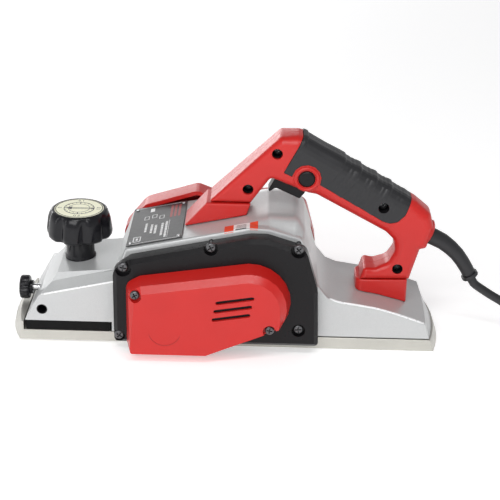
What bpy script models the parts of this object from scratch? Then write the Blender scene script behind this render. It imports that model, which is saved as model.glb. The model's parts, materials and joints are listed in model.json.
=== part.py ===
"""Electric hand planer, 82 mm class: the whole tool at rest, standing on its rear sole.

Lengths are in millimetres until mesh_object turns them into metres. X runs along the tool, front to -X,
Y runs across it with the belt side at -Y, and Z is up from the rear sole. The origin is on the rear sole.
"""

import math

import bmesh
import bpy
from mathutils import Matrix, Vector

MM = 0.001

# Sole and casting
HALF_WIDTH = 42.0
SOLE_END = 170.0
CUT_DEPTH = 2.0
SHOE_TOP = 10.7
REAR_SHOE_TOP = 10.3
CASTING_BOTTOM_FRONT = 19.6
CASTING_BOTTOM_REAR = 10.6
MOUTH_FRONT = -77.0
MOUTH_REAR = -25.5
GAP = 0.3

# Shafts
DRUM_X, DRUM_Z = -51.0, 26.0
MOTOR_X, MOTOR_Z = 16.0, 50.0
KNIFE_TIP_RADIUS = 25.85
DRUM_RADIUS = 23.5
CHAMBER_RADIUS = 28.0
STATOR_RADIUS = 36.6
DRUM_PULLEY_RADIUS = 13.0
MOTOR_PULLEY_RADIUS = 15.0
BELT_THICKNESS = 2.4

# Front controls
KNOB_X = -127.0
STEM_SEAT = 59.6
KNOB_RADIUS = 27.5
FLUTE_ANGLE = 14.5
DIAL_RADIUS = 20.4
ROD_X, ROD_Z = -154.5, 29.8
ROD_RADIUS = 4.5

# Side covers, as distances from the centre plane
DRIVE_COVER_IN, DRIVE_COVER_OUT = 42.3, 57.0
BELT_COVER_IN, BELT_COVER_OUT = 57.3, 76.0
RIGHT_COVER_IN, RIGHT_COVER_OUT = 42.3, 66.0

# Handle
HANDLE_HALF = 16.5
HANDLE_ROUNDING = 5.0
ROUNDING_SPREAD = 0.35
REAR_NARROWING = 0.14
LOCK_X, LOCK_Z = 60.3, 140.5
TRIGGER_PIVOT = (60.0, 128.0)
HANDLE_SCREWS = ((36.0, 161.0), (13.0, 130.0), (124.0, 116.0), (138.4, 61.6))

# Cord
CORD_RADIUS = 3.75
COIL_CENTRE = (347.0, 39.6)
COIL_INNER = 27.4
COIL_OUTER = 58.8
COIL_TOP = 15.7

COVER_SCREWS = ((-15.1, 94.4), (-85.6, 75.2), (55.0, 94.6), (56.9, 23.7), (-89.6, 14.6))
SCREW_POCKETS = ((5.7, -4.0, 18.0), (6.8, -10.0, 17.0), (6.3, 4.0, 18.0), (5.6, 0.0, 0.0), (4.9, -16.0, -2.0))
BELT_COVER_SCREWS = ((-74.6, 59.6), (33.3, 31.6))

MATERIALS = {
    "cast_silver": ((0.62, 0.63, 0.64), 0.42, 0.6),
    "sole_metal": ((0.72, 0.71, 0.66), 0.3, 1.0),
    "steel": ((0.6, 0.6, 0.62), 0.25, 1.0),
    "bearing_steel": ((0.5, 0.5, 0.52), 0.2, 1.0),
    "copper": ((0.72, 0.35, 0.2), 0.35, 1.0),
    "lamination": ((0.3, 0.3, 0.31), 0.5, 0.8),
    "red_plastic": ((0.62, 0.02, 0.015), 0.38, 0.0),
    "black_plastic": ((0.03, 0.03, 0.032), 0.42, 0.0),
    "grip_rubber": ((0.035, 0.035, 0.038), 0.62, 0.0),
    "foam": ((0.02, 0.02, 0.02), 0.9, 0.0),
    "dial_paper": ((0.85, 0.84, 0.6), 0.5, 0.0),
    "plate_grey": ((0.09, 0.09, 0.095), 0.45, 0.2),
    "belt_rubber": ((0.02, 0.02, 0.02), 0.7, 0.0),
    "cord_rubber": ((0.03, 0.03, 0.03), 0.5, 0.0),
    "carbon": ((0.05, 0.05, 0.05), 0.6, 0.1),
    "brass": ((0.75, 0.55, 0.25), 0.3, 1.0),
    "film_yellow": ((0.75, 0.6, 0.15), 0.4, 0.0),
    "fan_plastic": ((0.06, 0.06, 0.07), 0.5, 0.0),
    "screw_black": ((0.08, 0.08, 0.085), 0.35, 0.9),
}


def clear_scene():
    for found in list(bpy.data.objects):
        bpy.data.objects.remove(found, do_unlink=True)
    for found in list(bpy.data.meshes):
        bpy.data.meshes.remove(found)


def material(key):
    found = bpy.data.materials.get(key)
    if found:
        return found
    colour, roughness, metallic = MATERIALS[key]
    made = bpy.data.materials.new(key)
    made.use_nodes = True
    shader = made.node_tree.nodes["Principled BSDF"]
    shader.inputs["Base Color"].default_value = (*colour, 1.0)
    shader.inputs["Roughness"].default_value = roughness
    shader.inputs["Metallic"].default_value = metallic
    made.diffuse_color = (*colour, 1.0)
    return made


# ---------------------------------------------------------------- outlines


def fillet(corners, inset=0.0, steps=3):
    """Points of a closed outline of (u, v, radius) corners given counter-clockwise, moved inwards by inset."""
    count = len(corners)
    moved = []
    turns = []
    for i in range(count):
        before = Vector(corners[i - 1][:2])
        here = Vector(corners[i][:2])
        after = Vector(corners[(i + 1) % count][:2])
        first = (here - before).normalized()
        second = (after - here).normalized()
        normal_1 = Vector((-first.y, first.x))
        normal_2 = Vector((-second.y, second.x))
        moved.append(here + (normal_1 + normal_2) * (inset / (1.0 + normal_1.dot(normal_2))))
        turns.append(first.x * second.y - first.y * second.x)
    points = []
    for i in range(count):
        before = moved[i - 1]
        here = moved[i]
        after = moved[(i + 1) % count]
        radius = corners[i][2] + (-inset if turns[i] > 0 else inset)
        if corners[i][2] <= 0:
            points.append(here)
            continue
        radius = max(radius, 0.25)
        to_before = (before - here).normalized()
        to_after = (after - here).normalized()
        half = 0.5 * math.acos(max(-1.0, min(1.0, to_before.dot(to_after))))
        reach = radius / math.tan(half)
        limit = 0.45 * min((before - here).length, (after - here).length)
        if reach > limit:
            reach = limit
            radius = reach * math.tan(half)
        centre = here + (to_before + to_after).normalized() * (radius / math.sin(half))
        start = here + to_before * reach - centre
        sweep = math.pi - 2.0 * half
        if turns[i] < 0:
            sweep = -sweep
        for k in range(steps + 1):
            angle = sweep * k / steps
            points.append(
                centre
                + Vector(
                    (
                        start.x * math.cos(angle) - start.y * math.sin(angle),
                        start.x * math.sin(angle) + start.y * math.cos(angle),
                    )
                )
            )
    return [(point.x, point.y) for point in points]


def arc_corners(centre, radius, first, last, count):
    """Sharp corners on an arc, in degrees from first to last."""
    corners = []
    for k in range(count):
        angle = math.radians(first + (last - first) * k / (count - 1))
        corners.append((centre[0] + radius * math.cos(angle), centre[1] + radius * math.sin(angle), 0.0))
    return corners


def slot_outline(first, second, radius, steps=10):
    """A round-ended slot between two centres, or a circle where they are the same."""
    heading = math.atan2(second[1] - first[1], second[0] - first[0])
    points = []
    for (u, v), turned_by in ((second, -0.5 * math.pi), (first, 0.5 * math.pi)):
        for k in range(steps + 1):
            angle = heading + turned_by + math.pi * k / steps
            points.append((u + radius * math.cos(angle), v + radius * math.sin(angle)))
    if first == second:
        points = points[: steps + 1] + points[steps + 2 : -1]
    return points


# ---------------------------------------------------------------- solids


def mesh_object(name, points, faces, key):
    mesh = bpy.data.meshes.new(name)
    mesh.from_pydata([tuple(value * MM for value in point) for point in points], [], faces)
    work = bmesh.new()
    work.from_mesh(mesh)
    bmesh.ops.recalc_face_normals(work, faces=work.faces)
    work.to_mesh(mesh)
    work.free()
    made = bpy.data.objects.new(name, mesh)
    bpy.context.scene.collection.objects.link(made)
    mesh.materials.append(material(key))
    return made


def loft(name, rings, key):
    """A closed solid through rings of equal point count, with flat ends."""
    size = len(rings[0])
    points = [point for ring in rings for point in ring]
    faces = [list(range(size)), list(range(len(points) - size, len(points)))]
    for r in range(len(rings) - 1):
        for i in range(size):
            j = (i + 1) % size
            faces.append([r * size + i, r * size + j, (r + 1) * size + j, (r + 1) * size + i])
    return mesh_object(name, points, faces, key)


def prism_y(name, outline, y_from, y_to, key):
    return loft(name, [[(u, y, v) for u, v in outline] for y in (y_from, y_to)], key)


def prism_z(name, outline, z_from, z_to, key):
    return loft(name, [[(u, v, z) for u, v in outline] for z in (z_from, z_to)], key)


def rounded_prism_y(name, corners, y_in, y_out, radius, key, inset=0.0, steps=3):
    """An outline run along Y, whose outer end is rounded over by radius."""
    side = 1.0 if y_out > y_in else -1.0
    rings = [[(u, y_in, v) for u, v in fillet(corners, inset)]]
    for k in range(steps + 1):
        angle = 0.5 * math.pi * k / steps
        y = y_out - side * radius * (1.0 - math.sin(angle))
        more = radius * (1.0 - math.cos(angle))
        rings.append([(u, y, v) for u, v in fillet(corners, inset + more)])
    return loft(name, rings, key)


def rounded_slab_y(name, corners, y_from, y_to, radius, key, steps=2):
    """An outline run along Y, rounded over at both ends."""
    rings = []
    for k in range(steps + 1):
        angle = 0.5 * math.pi * k / steps
        more = radius * (1.0 - math.sin(angle))
        y = y_from + radius * (1.0 - math.cos(angle))
        rings.append([(u, y, v) for u, v in fillet(corners, more)])
    for k in range(steps + 1):
        angle = 0.5 * math.pi * k / steps
        more = radius * (1.0 - math.cos(angle))
        y = y_to - radius * (1.0 - math.sin(angle))
        rings.append([(u, y, v) for u, v in fillet(corners, more)])
    return loft(name, rings, key)


def box(name, low, high, key):
    outline = [(low[0], low[2]), (high[0], low[2]), (high[0], high[2]), (low[0], high[2])]
    return prism_y(name, outline, low[1], high[1], key)


def placed(axis, along, across_1, across_2):
    if axis == "X":
        return (along, across_1, across_2)
    if axis == "Y":
        return (across_1, along, across_2)
    return (across_1, across_2, along)


def turned(name, axis, centre, profile, key, segments=24, ring=False):
    """A solid of revolution. The profile is (radius, distance along the axis); centre is the two other
    coordinates of the axis. ring closes the profile on itself, for a hollow part."""
    points = []
    rows = []
    for radius, along in profile:
        row = []
        if radius < 1e-6:
            row.append(len(points))
            points.append(placed(axis, along, centre[0], centre[1]))
        else:
            for i in range(segments):
                angle = 2.0 * math.pi * i / segments
                row.append(len(points))
                points.append(
                    placed(axis, along, centre[0] + radius * math.cos(angle), centre[1] + radius * math.sin(angle))
                )
        rows.append(row)
    faces = []
    pairs = list(zip(rows, rows[1:] + rows[:1])) if ring else list(zip(rows, rows[1:]))
    for first, second in pairs:
        if len(first) == 1 and len(second) == 1:
            continue
        for i in range(segments):
            j = (i + 1) % segments
            if len(first) == 1:
                faces.append([first[0], second[i], second[j]])
            elif len(second) == 1:
                faces.append([first[i], first[j], second[0]])
            else:
                faces.append([first[i], first[j], second[j], second[i]])
    if not ring:
        for row in (rows[0], rows[-1]):
            if len(row) > 1:
                faces.append(row)
    made = mesh_object(name, points, faces, key)
    for polygon in made.data.polygons:
        polygon.use_smooth = len(polygon.vertices) <= 4
    return made


def rod(name, axis, centre, radius, first, last, key, segments=24):
    return turned(name, axis, centre, [(radius, first), (radius, last)], key, segments)


def tube(name, axis, centre, outer, inner, first, last, key, segments=24):
    profile = [(outer, first), (outer, last), (inner, last), (inner, first)]
    return turned(name, axis, centre, profile, key, segments, ring=True)


def swept(name, route, radii, key, sides=12):
    """A round solid along a route of points, with one radius for each."""
    rings = []
    for i, point in enumerate(route):
        here = Vector(point)
        ahead = Vector(route[min(i + 1, len(route) - 1)])
        behind = Vector(route[max(i - 1, 0)])
        along = (ahead - behind).normalized()
        side = along.cross(Vector((0.0, 1.0, 0.0))).normalized()
        over = along.cross(side).normalized()
        ring = []
        for k in range(sides):
            angle = 2.0 * math.pi * k / sides
            ring.append(tuple(here + (side * math.cos(angle) + over * math.sin(angle)) * radii[i]))
        rings.append(ring)
    return loft(name, rings, key)


def combine(target, operation, *others):
    """Applies Booleans to target at once and removes the helpers."""
    for other in others:
        step = target.modifiers.new("shape", "BOOLEAN")
        step.operation = operation
        step.solver = "EXACT"
        step.object = other
        graph = bpy.context.evaluated_depsgraph_get()
        result = bpy.data.meshes.new_from_object(target.evaluated_get(graph))
        target.modifiers.clear()
        old = target.data
        target.data = result
        result.name = target.name
        bpy.data.meshes.remove(old)
        bpy.data.objects.remove(other, do_unlink=True)
    return target


def cut(target, *others):
    return combine(target, "DIFFERENCE", *others)


def join(target, *others):
    return combine(target, "UNION", *others)


def keep(target, *others):
    return combine(target, "INTERSECT", *others)


def turn(target, axis, degrees, about):
    pivot = Vector(about) * MM
    matrix = Matrix.Translation(pivot) @ Matrix.Rotation(math.radians(degrees), 4, axis) @ Matrix.Translation(-pivot)
    target.data.transform(matrix)
    return target


def set_origin(target, point):
    """Puts the object's origin on its joint axis without moving its shape."""
    offset = Vector(point) * MM
    target.data.transform(Matrix.Translation(-offset))
    target.location = offset
    return target


# ---------------------------------------------------------------- casting and shoes


def deck_section(x_bottom, x_top, ridge, shoulder, plateau, bottom):
    """One crosswise ring of the front deck, near side first."""
    edge = HALF_WIDTH - 0.05
    half = [
        (x_bottom, -edge, bottom),
        (x_top, -edge, ridge),
        (x_top, -33.5, shoulder),
        (x_top, -31.5, plateau),
    ]
    return half + [(x, -y, z) for x, y, z in reversed(half)]


def end_outline(x_mid_front, x_corner_front, x_mid_rear, x_corner_rear):
    """A plan outline whose two ends bow outwards."""
    corners = []
    for k in range(9):
        y = -HALF_WIDTH + 2 * HALF_WIDTH * k / 8
        bow = 1.0 - (y / HALF_WIDTH) ** 2
        corners.append((x_corner_rear + (x_mid_rear - x_corner_rear) * bow, y))
    for k in range(9):
        y = HALF_WIDTH - 2 * HALF_WIDTH * k / 8
        bow = 1.0 - (y / HALF_WIDTH) ** 2
        corners.append((x_corner_front + (x_mid_front - x_corner_front) * bow, y))
    return corners


REAR_DECK = ((185.0, 17.4), (160.0, 26.0), (142.0, 32.2), (123.0, 37.8), (106.0, 40.8), (90.0, 43.2), (80.5, 47.0))

HUMP = [
    (-95.5, CASTING_BOTTOM_FRONT, 0),
    (-20.0, CASTING_BOTTOM_REAR, 0),
    (185.0, CASTING_BOTTOM_REAR, 0),
    *[(x, z, 0) for x, z in REAR_DECK],
    (72.0, 57.5, 8),
    (63.0, 88.0, 8),
    (57.5, 99.0, 6),
    (32.0, 106.5, 15),
    (14.0, 107.0, 15),
    (-85.0, 85.8, 4),
    (-94.8, 61.0, 0),
]

DOME = [
    (-22.0, 70.0, 0),
    (62.0, 70.0, 0),
    (66.5, 84.0, 4),
    (60.0, 104.0, 8),
    (54.0, 112.0, 8),
    (30.0, 112.5, 10),
    (-8.0, 102.0, 20),
    (-22.0, 98.2, 0),
]

# The dome's outline where it runs out into the shoulder of the hump
DOME_FOOT = [
    (-22.0, 70.0, 0),
    (61.5, 70.0, 0),
    (63.2, 84.0, 4),
    (58.6, 95.2, 8),
    (52.0, 99.8, 8),
    (30.0, 105.4, 10),
    (-8.0, 101.4, 20),
    (-22.0, 97.6, 0),
]

DOME_RISE = (
    (-41.6, 0.0), (-38.5, 0.14), (-35.5, 0.38), (-32.5, 0.66), (-29.5, 0.86), (-25.5, 0.96), (-20.0, 1.0),
    (26.0, 1.0), (32.0, 0.95), (36.0, 0.78), (39.0, 0.45), (41.6, 0.0),
)


def make_dome():
    rings = []
    for y, share in DOME_RISE:
        corners = []
        for low, high in zip(DOME_FOOT, DOME):
            corners.append((low[0] + (high[0] - low[0]) * share, low[1] + (high[1] - low[1]) * share, low[2]))
        rings.append([(u, y, v) for u, v in fillet(corners)])
    return loft("dome", rings, "cast_silver")


def make_casting():
    silver = "cast_silver"
    casting = rounded_slab_y("body_casting", HUMP, -HALF_WIDTH, HALF_WIDTH, 2.2, silver)
    deck = loft(
        "deck",
        [
            deck_section(-169.0, -156.5, 42.5, 42.7, 42.9, CASTING_BOTTOM_FRONT),
            deck_section(-147.0, -147.0, 44.6, 51.0, 51.2, CASTING_BOTTOM_FRONT),
            deck_section(-142.0, -142.0, 45.8, 52.9, 59.0, CASTING_BOTTOM_FRONT),
            deck_section(-94.6, -94.6, 56.3, 62.8, 63.0, CASTING_BOTTOM_FRONT),
            deck_section(-88.0, -88.0, 57.8, 63.2, 63.4, CASTING_BOTTOM_FRONT),
        ],
        silver,
    )
    casting = join(casting, deck)
    casting = join(casting, make_dome())
    foot_seat = [(-46.0, 94.4), (12.6, 106.75), (16.2, 117.6), (16.2, 130.0), (-46.0, 130.0)]
    casting = cut(casting, prism_y("foot_seat", foot_seat, -HANDLE_HALF - GAP, HANDLE_HALF + GAP, silver))
    low = end_outline(-190.0, -190.0, 173.5, 167.3)
    high = end_outline(-190.0, -190.0, 163.0, 161.5)
    low_ring = [(x, y, 5.0) for x, y in low]
    high_ring = [(x, y, 25.0) for x, y in high]
    top_ring = [(x - 4.0, y, 130.0) for x, y in high]
    casting = keep(casting, loft("trim", [low_ring, high_ring, top_ring], silver))

    pocket = box("pocket", (-147.0, -36.0, 10.0), (-84.0, 36.0, 40.0), silver)
    chamber = rod("chamber", "Y", (DRUM_X, DRUM_Z), CHAMBER_RADIUS, -50.0, 50.0, silver, 40)
    mouth = box("mouth", (-82.5, -50.0, -5.0), (-24.0, 50.0, 26.0), silver)
    motor_bay = rod("motor_bay", "Y", (MOTOR_X, MOTOR_Z), STATOR_RADIUS + 0.6, -35.0, 50.0, silver, 40)
    shaft_hole = rod("shaft_hole", "Y", (MOTOR_X, MOTOR_Z), 9.0, -50.0, -30.0, silver)
    chip_way = prism_y(
        "chip_way",
        [(-82.0, 38.0), (-52.0, 40.0), (-28.0, 62.0), (-30.0, 88.5), (-79.0, 78.0), (-84.0, 64.0)],
        -27.0,
        50.0,
        silver,
    )
    rear_outline = [(62.0, 5.0), (154.0, 5.0), (154.0, 22.0), (122.0, 32.5), (84.0, 38.0), (66.0, 48.0)]
    rear_pocket = prism_y("rear_pocket", rear_outline, -36.0, 36.0, silver)
    guide_hole = rod("guide_hole", "Y", (ROD_X, ROD_Z), ROD_RADIUS, -50.0, 50.0, silver, 16)
    clamp_hole = rod("clamp_hole", "X", (0.0, ROD_Z), 3.3, -190.0, ROD_X, silver, 16)
    spindle_hole = rod("spindle_hole", "Z", (KNOB_X, 0.0), 4.6, 30.0, 70.0, silver, 20)
    spot_face = rod("spot_face", "Z", (KNOB_X, 0.0), 13.3, STEM_SEAT, 70.0, silver, 32)
    casting = cut(
        casting, pocket, chamber, mouth, motor_bay, shaft_hole, chip_way, rear_pocket,
        guide_hole, clamp_hole, spindle_hole, spot_face,
    )
    bracket = box("bracket", (-97.0, -HALF_WIDTH, 11.2), (-83.0, -36.5, 24.0), silver)
    casting = join(casting, bracket)
    for i, (x, z) in enumerate(COVER_SCREWS):
        casting = cut(casting, rod(f"thread_{i}", "Y", (x, z), 2.3, -50.0, -30.0, silver, 12))
    return casting


def make_rear_shoe():
    key = "sole_metal"
    rings = []
    for z, mid, corner in ((0.0, 176.0, SOLE_END), (REAR_SHOE_TOP, 172.3, 166.3)):
        rings.append([(x, y, z) for x, y in end_outline(MOUTH_REAR, MOUTH_REAR, mid, corner)])
    return loft("rear_shoe", rings, key)


def make_front_shoe():
    key = "sole_metal"
    rings = []
    for z, mid, corner in ((CUT_DEPTH, -184.0, -174.0), (SHOE_TOP, -182.0, -173.0)):
        rings.append([(x, y, z) for x, y in end_outline(mid, corner, MOUTH_FRONT, MOUTH_FRONT)])
    shoe = loft("front_shoe", rings, key)
    nose_rings = []
    for z, mid, corner in ((SHOE_TOP - 2.0, -182.4, -173.2), (15.5, -180.0, -172.6), (18.2, -177.0, -171.9)):
        nose_rings.append([(x, y, z) for x, y in end_outline(mid, corner, -170.4, -170.4)])
    shoe = join(shoe, loft("nose", nose_rings, key))
    shoe = join(shoe, rod("boss", "Z", (KNOB_X, 0.0), 9.0, SHOE_TOP - 2.0, 29.0, key, 24))
    shoe = join(shoe, box("guide", (-102.0, -14.0, SHOE_TOP - 2.0), (-92.0, 14.0, 36.0), key))
    corner_trim = prism_z(
        "corners",
        fillet(
            [(-186.0, -HALF_WIDTH, 9), (-70.0, -HALF_WIDTH, 0), (-70.0, HALF_WIDTH, 0), (-186.0, HALF_WIDTH, 9)],
            steps=4,
        ),
        -5.0,
        60.0,
        key,
    )
    shoe = keep(shoe, corner_trim)
    return cut(shoe, rod("nut", "Z", (KNOB_X, 0.0), 4.3, 12.0, 40.0, key, 20))


def make_gasket():
    outline = [(-168.4, -41.6), (-98.0, -41.6), (-98.0, 41.6), (-168.4, 41.6)]
    gasket = prism_z("shoe_gasket", outline, SHOE_TOP + GAP, CASTING_BOTTOM_FRONT - GAP, "foam")
    return cut(gasket, box("inside", (-146.5, -35.5, 5.0), (-90.0, 35.5, 25.0), "foam"))


# ---------------------------------------------------------------- covers

DRIVE_OUTLINE = [
    (-94.0, 8.5, 3),
    (73.5, 8.5, 3),
    (71.5, 58.0, 6),
    (61.5, 93.0, 8),
    (30.0, 102.8, 14),
    (16.0, 102.8, 14),
    (-80.0, 82.0, 6),
    (-94.0, 72.0, 9),
]

BELT_OUTLINE = (
    [(-80.8, 6.4, 4), (-17.6, 6.4, 5), (27.0, 25.5, 3)]
    + arc_corners((16.3, 49.3), 31.3, -34.0, 92.0, 9)
    + [(-71.0, 67.6, 6), (-80.8, 62.0, 6)]
)


def make_drive_cover():
    key = "black_plastic"
    rings = []
    for y, inset in ((-DRIVE_COVER_IN, 0.0), (-DRIVE_COVER_OUT + 3.3, 0.0), (-DRIVE_COVER_OUT, 3.3)):
        rings.append([(u, y, v) for u, v in fillet(DRIVE_OUTLINE, inset)])
    cover = loft("drive_cover", rings, key)
    hollow = prism_y("hollow", fillet(DRIVE_OUTLINE, 4.0), -51.0, -30.0, key)
    for (x, z), (radius, _, _) in zip(COVER_SCREWS, SCREW_POCKETS):
        hollow = cut(hollow, rod("column", "Y", (x, z), radius + 1.6, -60.0, -42.9, key, 20))
    cover = cut(cover, hollow)
    for x, z, radius in ((DRUM_X, DRUM_Z, 17.4), (MOTOR_X, MOTOR_Z, 16.4)):
        cover = join(cover, rod("seat", "Y", (x, z), radius, -52.4, -42.8, key, 28))
    for x, z in BELT_COVER_SCREWS:
        cover = join(cover, rod("column", "Y", (x, z), 4.8, -52.0, -46.0, key, 16))
    cover = cut(cover, prism_y("recess", fillet(BELT_OUTLINE, 3.0), -70.0, -53.6, key))
    cover = cut(cover, rod("bore_1", "Y", (DRUM_X, DRUM_Z), 14.4, -60.0, -40.0, key, 28))
    cover = cut(cover, rod("bore_2", "Y", (MOTOR_X, MOTOR_Z), 13.4, -60.0, -40.0, key, 28))
    for (x, z), (radius, along_x, along_z) in zip(COVER_SCREWS, SCREW_POCKETS):
        pocket = prism_y("pocket", slot_outline((x, z), (x + along_x, z + along_z), radius), -60.0, -52.4, key)
        cover = cut(cover, pocket)
        cover = cut(cover, rod("hole", "Y", (x, z), 2.4, -60.0, -40.0, key, 12))
    for x, z in BELT_COVER_SCREWS:
        cover = cut(cover, rod("pilot", "Y", (x, z), 1.9, -60.0, -47.0, key, 12))
    return cover


def belt_front(u, v):
    """How far the flat front of the belt cover stays inside its outline: more along the top and round end."""
    share = max(0.0, min(1.0, (v - 30.0) / 18.0))
    return 2.0 + 4.2 * share * share * (3.0 - 2.0 * share)


def make_belt_cover():
    key = "red_plastic"
    rings = []
    for y, inset in ((-BELT_COVER_IN, -2.3), (-70.6, 0.7), (-71.4, 0.9)):
        rings.append([(u, y, v) for u, v in fillet(BELT_OUTLINE, inset)])
    base = fillet(BELT_OUTLINE)
    for y, share in ((-75.4, 0.86), (-BELT_COVER_OUT, 1.0)):
        ring = []
        for i, (u, v) in enumerate(base):
            inset = 0.9 + (belt_front(u, v) - 0.9) * share
            ring.append((fillet(BELT_OUTLINE, inset)[i][0], y, fillet(BELT_OUTLINE, inset)[i][1]))
        rings.append(ring)
    cover = loft("belt_cover", rings, key)
    hollow = prism_y("inside", fillet(BELT_OUTLINE, 3.2), -71.0, -50.0, key)
    hollow = join(hollow, prism_y("deep", fillet(BELT_OUTLINE, 5.4), -73.6, -50.5, key))
    for x, z in BELT_COVER_SCREWS:
        hollow = cut(hollow, rod("post", "Y", (x, z), 6.8, -90.0, -BELT_COVER_IN, key, 20))
    cover = cut(cover, hollow)
    for x, z in BELT_COVER_SCREWS:
        cover = cut(cover, rod("pocket", "Y", (x, z), 5.4, -80.0, -71.2, key, 20))
        cover = cut(cover, rod("hole", "Y", (x, z), 2.1, -80.0, -50.0, key, 12))
    for x_mid, z_mid in ((5.2, 58.3), (3.6, 50.8), (2.3, 43.4)):
        ends = ((x_mid - 13.9, z_mid - 2.35), (x_mid + 13.9, z_mid + 2.35))
        cover = cut(cover, prism_y("slot", slot_outline(*ends, 1.6, 4), -80.0, -70.0, key))
    return cover


RIGHT_OUTLINE = [
    (-94.0, 8.5, 3),
    (72.0, 8.5, 3),
    (71.0, 62.0, 6),
    (62.5, 93.0, 8),
    (30.0, 101.5, 14),
    (-12.0, 97.0, 10),
    (-31.0, 104.5, 7),
    (-76.0, 90.5, 10),
    (-94.0, 68.0, 12),
]


def make_right_cover():
    key = "red_plastic"
    cover = rounded_prism_y("right_cover", RIGHT_OUTLINE, RIGHT_COVER_IN, RIGHT_COVER_OUT, 4.0, key)
    cover = cut(cover, prism_y("hollow", fillet(RIGHT_OUTLINE, 3.6), 30.0, 62.6, key))
    for x, z, radius, reach in ((DRUM_X, DRUM_Z, 17.4, 42.8), (MOTOR_X, MOTOR_Z, 14.4, 52.4)):
        cover = join(cover, rod("seat", "Y", (x, z), radius, reach, 63.4, key, 28))
    chute = [(-82.0, 55.0), (-34.0, 55.0), (-34.0, 88.0), (-77.0, 79.0)]
    cover = join(cover, prism_y("duct", fillet([(x, z, 0) for x, z in chute], -2.6), 42.8, 63.2, key))
    cover = cut(cover, prism_y("chute", chute, 30.0, 80.0, key))
    cover = cut(cover, rod("seat_motor", "Y", (MOTOR_X, MOTOR_Z), 11.3, 30.0, 61.0, key, 28))
    cover = cut(cover, rod("seat_drum", "Y", (DRUM_X, DRUM_Z), 14.4, 30.0, 52.0, key, 28))
    for k in range(5):
        z = 34.0 + 8.0 * k
        if abs(z - MOTOR_Z) < 1.0:
            continue
        reach = 14.0
        for side in (-1.0, 1.0):
            x = MOTOR_X + side * 24.0
            cover = cut(cover, box("vent", (x - reach / 2, 45.0, z - 1.5), (x + reach / 2, 80.0, z + 1.5), key))
    return cover


# ---------------------------------------------------------------- handle

# Corners as (x, z, radius seen from the side, rounding of the edge towards the side)
HANDLE = [
    (16.0, 117.6, 1.5, 3.0),
    (31.5, 139.6, 3, 4.0),
    (62.0, 127.4, 6, 5.5),
    (69.0, 126.3, 8, 7.0),
    (127.5, 94.3, 9, 8.5),
    (135.8, 86.0, 7, 8.5),
    (136.2, 75.0, 8, 7.0),
    (130.0, 65.0, 9, 6.0),
    (118.5, 61.0, 7, 5.0),
    (110.3, 62.6, 3.5, 4.0),
    (107.0, 51.6, 1.0, 4.0),
    (149.0, 51.6, 1.0, 4.5),
    (156.0, 79.0, 2, 6.5),
    (161.0, 79.5, 3, 6.5),
    (165.6, 98.0, 3, 7.0),
    (162.2, 109.0, 7, 8.5),
    (150.0, 118.7, 4, 10.0),
    (58.0, 172.2, 4, 10.0),
    (53.0, 173.6, 4, 9.0),
    (38.6, 173.6, 5, 6.5),
    (-20.5, 117.6, 1.5, 3.0),
]

PAD = (
    [
        (57.0, 190.0, 0),
        (56.3, 174.0, 0),
        (41.3, 145.2, 1),
        (48.4, 142.0, 1),
    ]
    + arc_corners((LOCK_X, LOCK_Z), 11.8, 168.0, -24.0, 8)
    + [
        (88.0, 125.5, 0),
        (104.6, 115.9, 0),
        (123.5, 104.4, 3),
        (129.6, 102.4, 4),
        (136.0, 103.6, 5),
        (142.0, 109.6, 4),
        (150.0, 130.0, 0),
        (150.0, 190.0, 0),
    ]
)


def narrowed(x):
    """The handle's width at x, as a share of its width at the grip: it narrows towards the rear leg."""
    share = max(0.0, min(1.0, (x - 95.0) / 50.0))
    return 1.0 - REAR_NARROWING * share * share * (3.0 - 2.0 * share)


def handle_solid(name, side, key, inset=0.0, steps=4):
    """One half of the handle, whose outer edge is rounded by each corner's own amount."""
    roundings = []
    for corner in HANDLE:
        roundings += [corner[3]] * (4 if corner[2] > 0 else 1)
    outlines = {}

    def outline(more):
        if more not in outlines:
            outlines[more] = fillet(HANDLE, more)
        return outlines[more]

    rings = [[], *([] for _ in range(steps + 1))]
    for i, rounding in enumerate(roundings):
        # A rounder edge shrinks the shape as seen, so its outline stands out a little more
        start = inset - ROUNDING_SPREAD * (rounding - HANDLE_ROUNDING)
        radius = max(rounding - inset, 0.4)
        u, v = outline(start)[i]
        rings[0].append((u, side * GAP / 2, v))
        for k in range(steps + 1):
            angle = 0.5 * math.pi * k / steps
            y = HANDLE_HALF - inset - radius * (1.0 - math.sin(angle))
            u, v = outline(start + radius * (1.0 - math.cos(angle)))[i]
            rings[k + 1].append((u, side * y * narrowed(u), v))
    return loft(name, rings, key)


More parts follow.
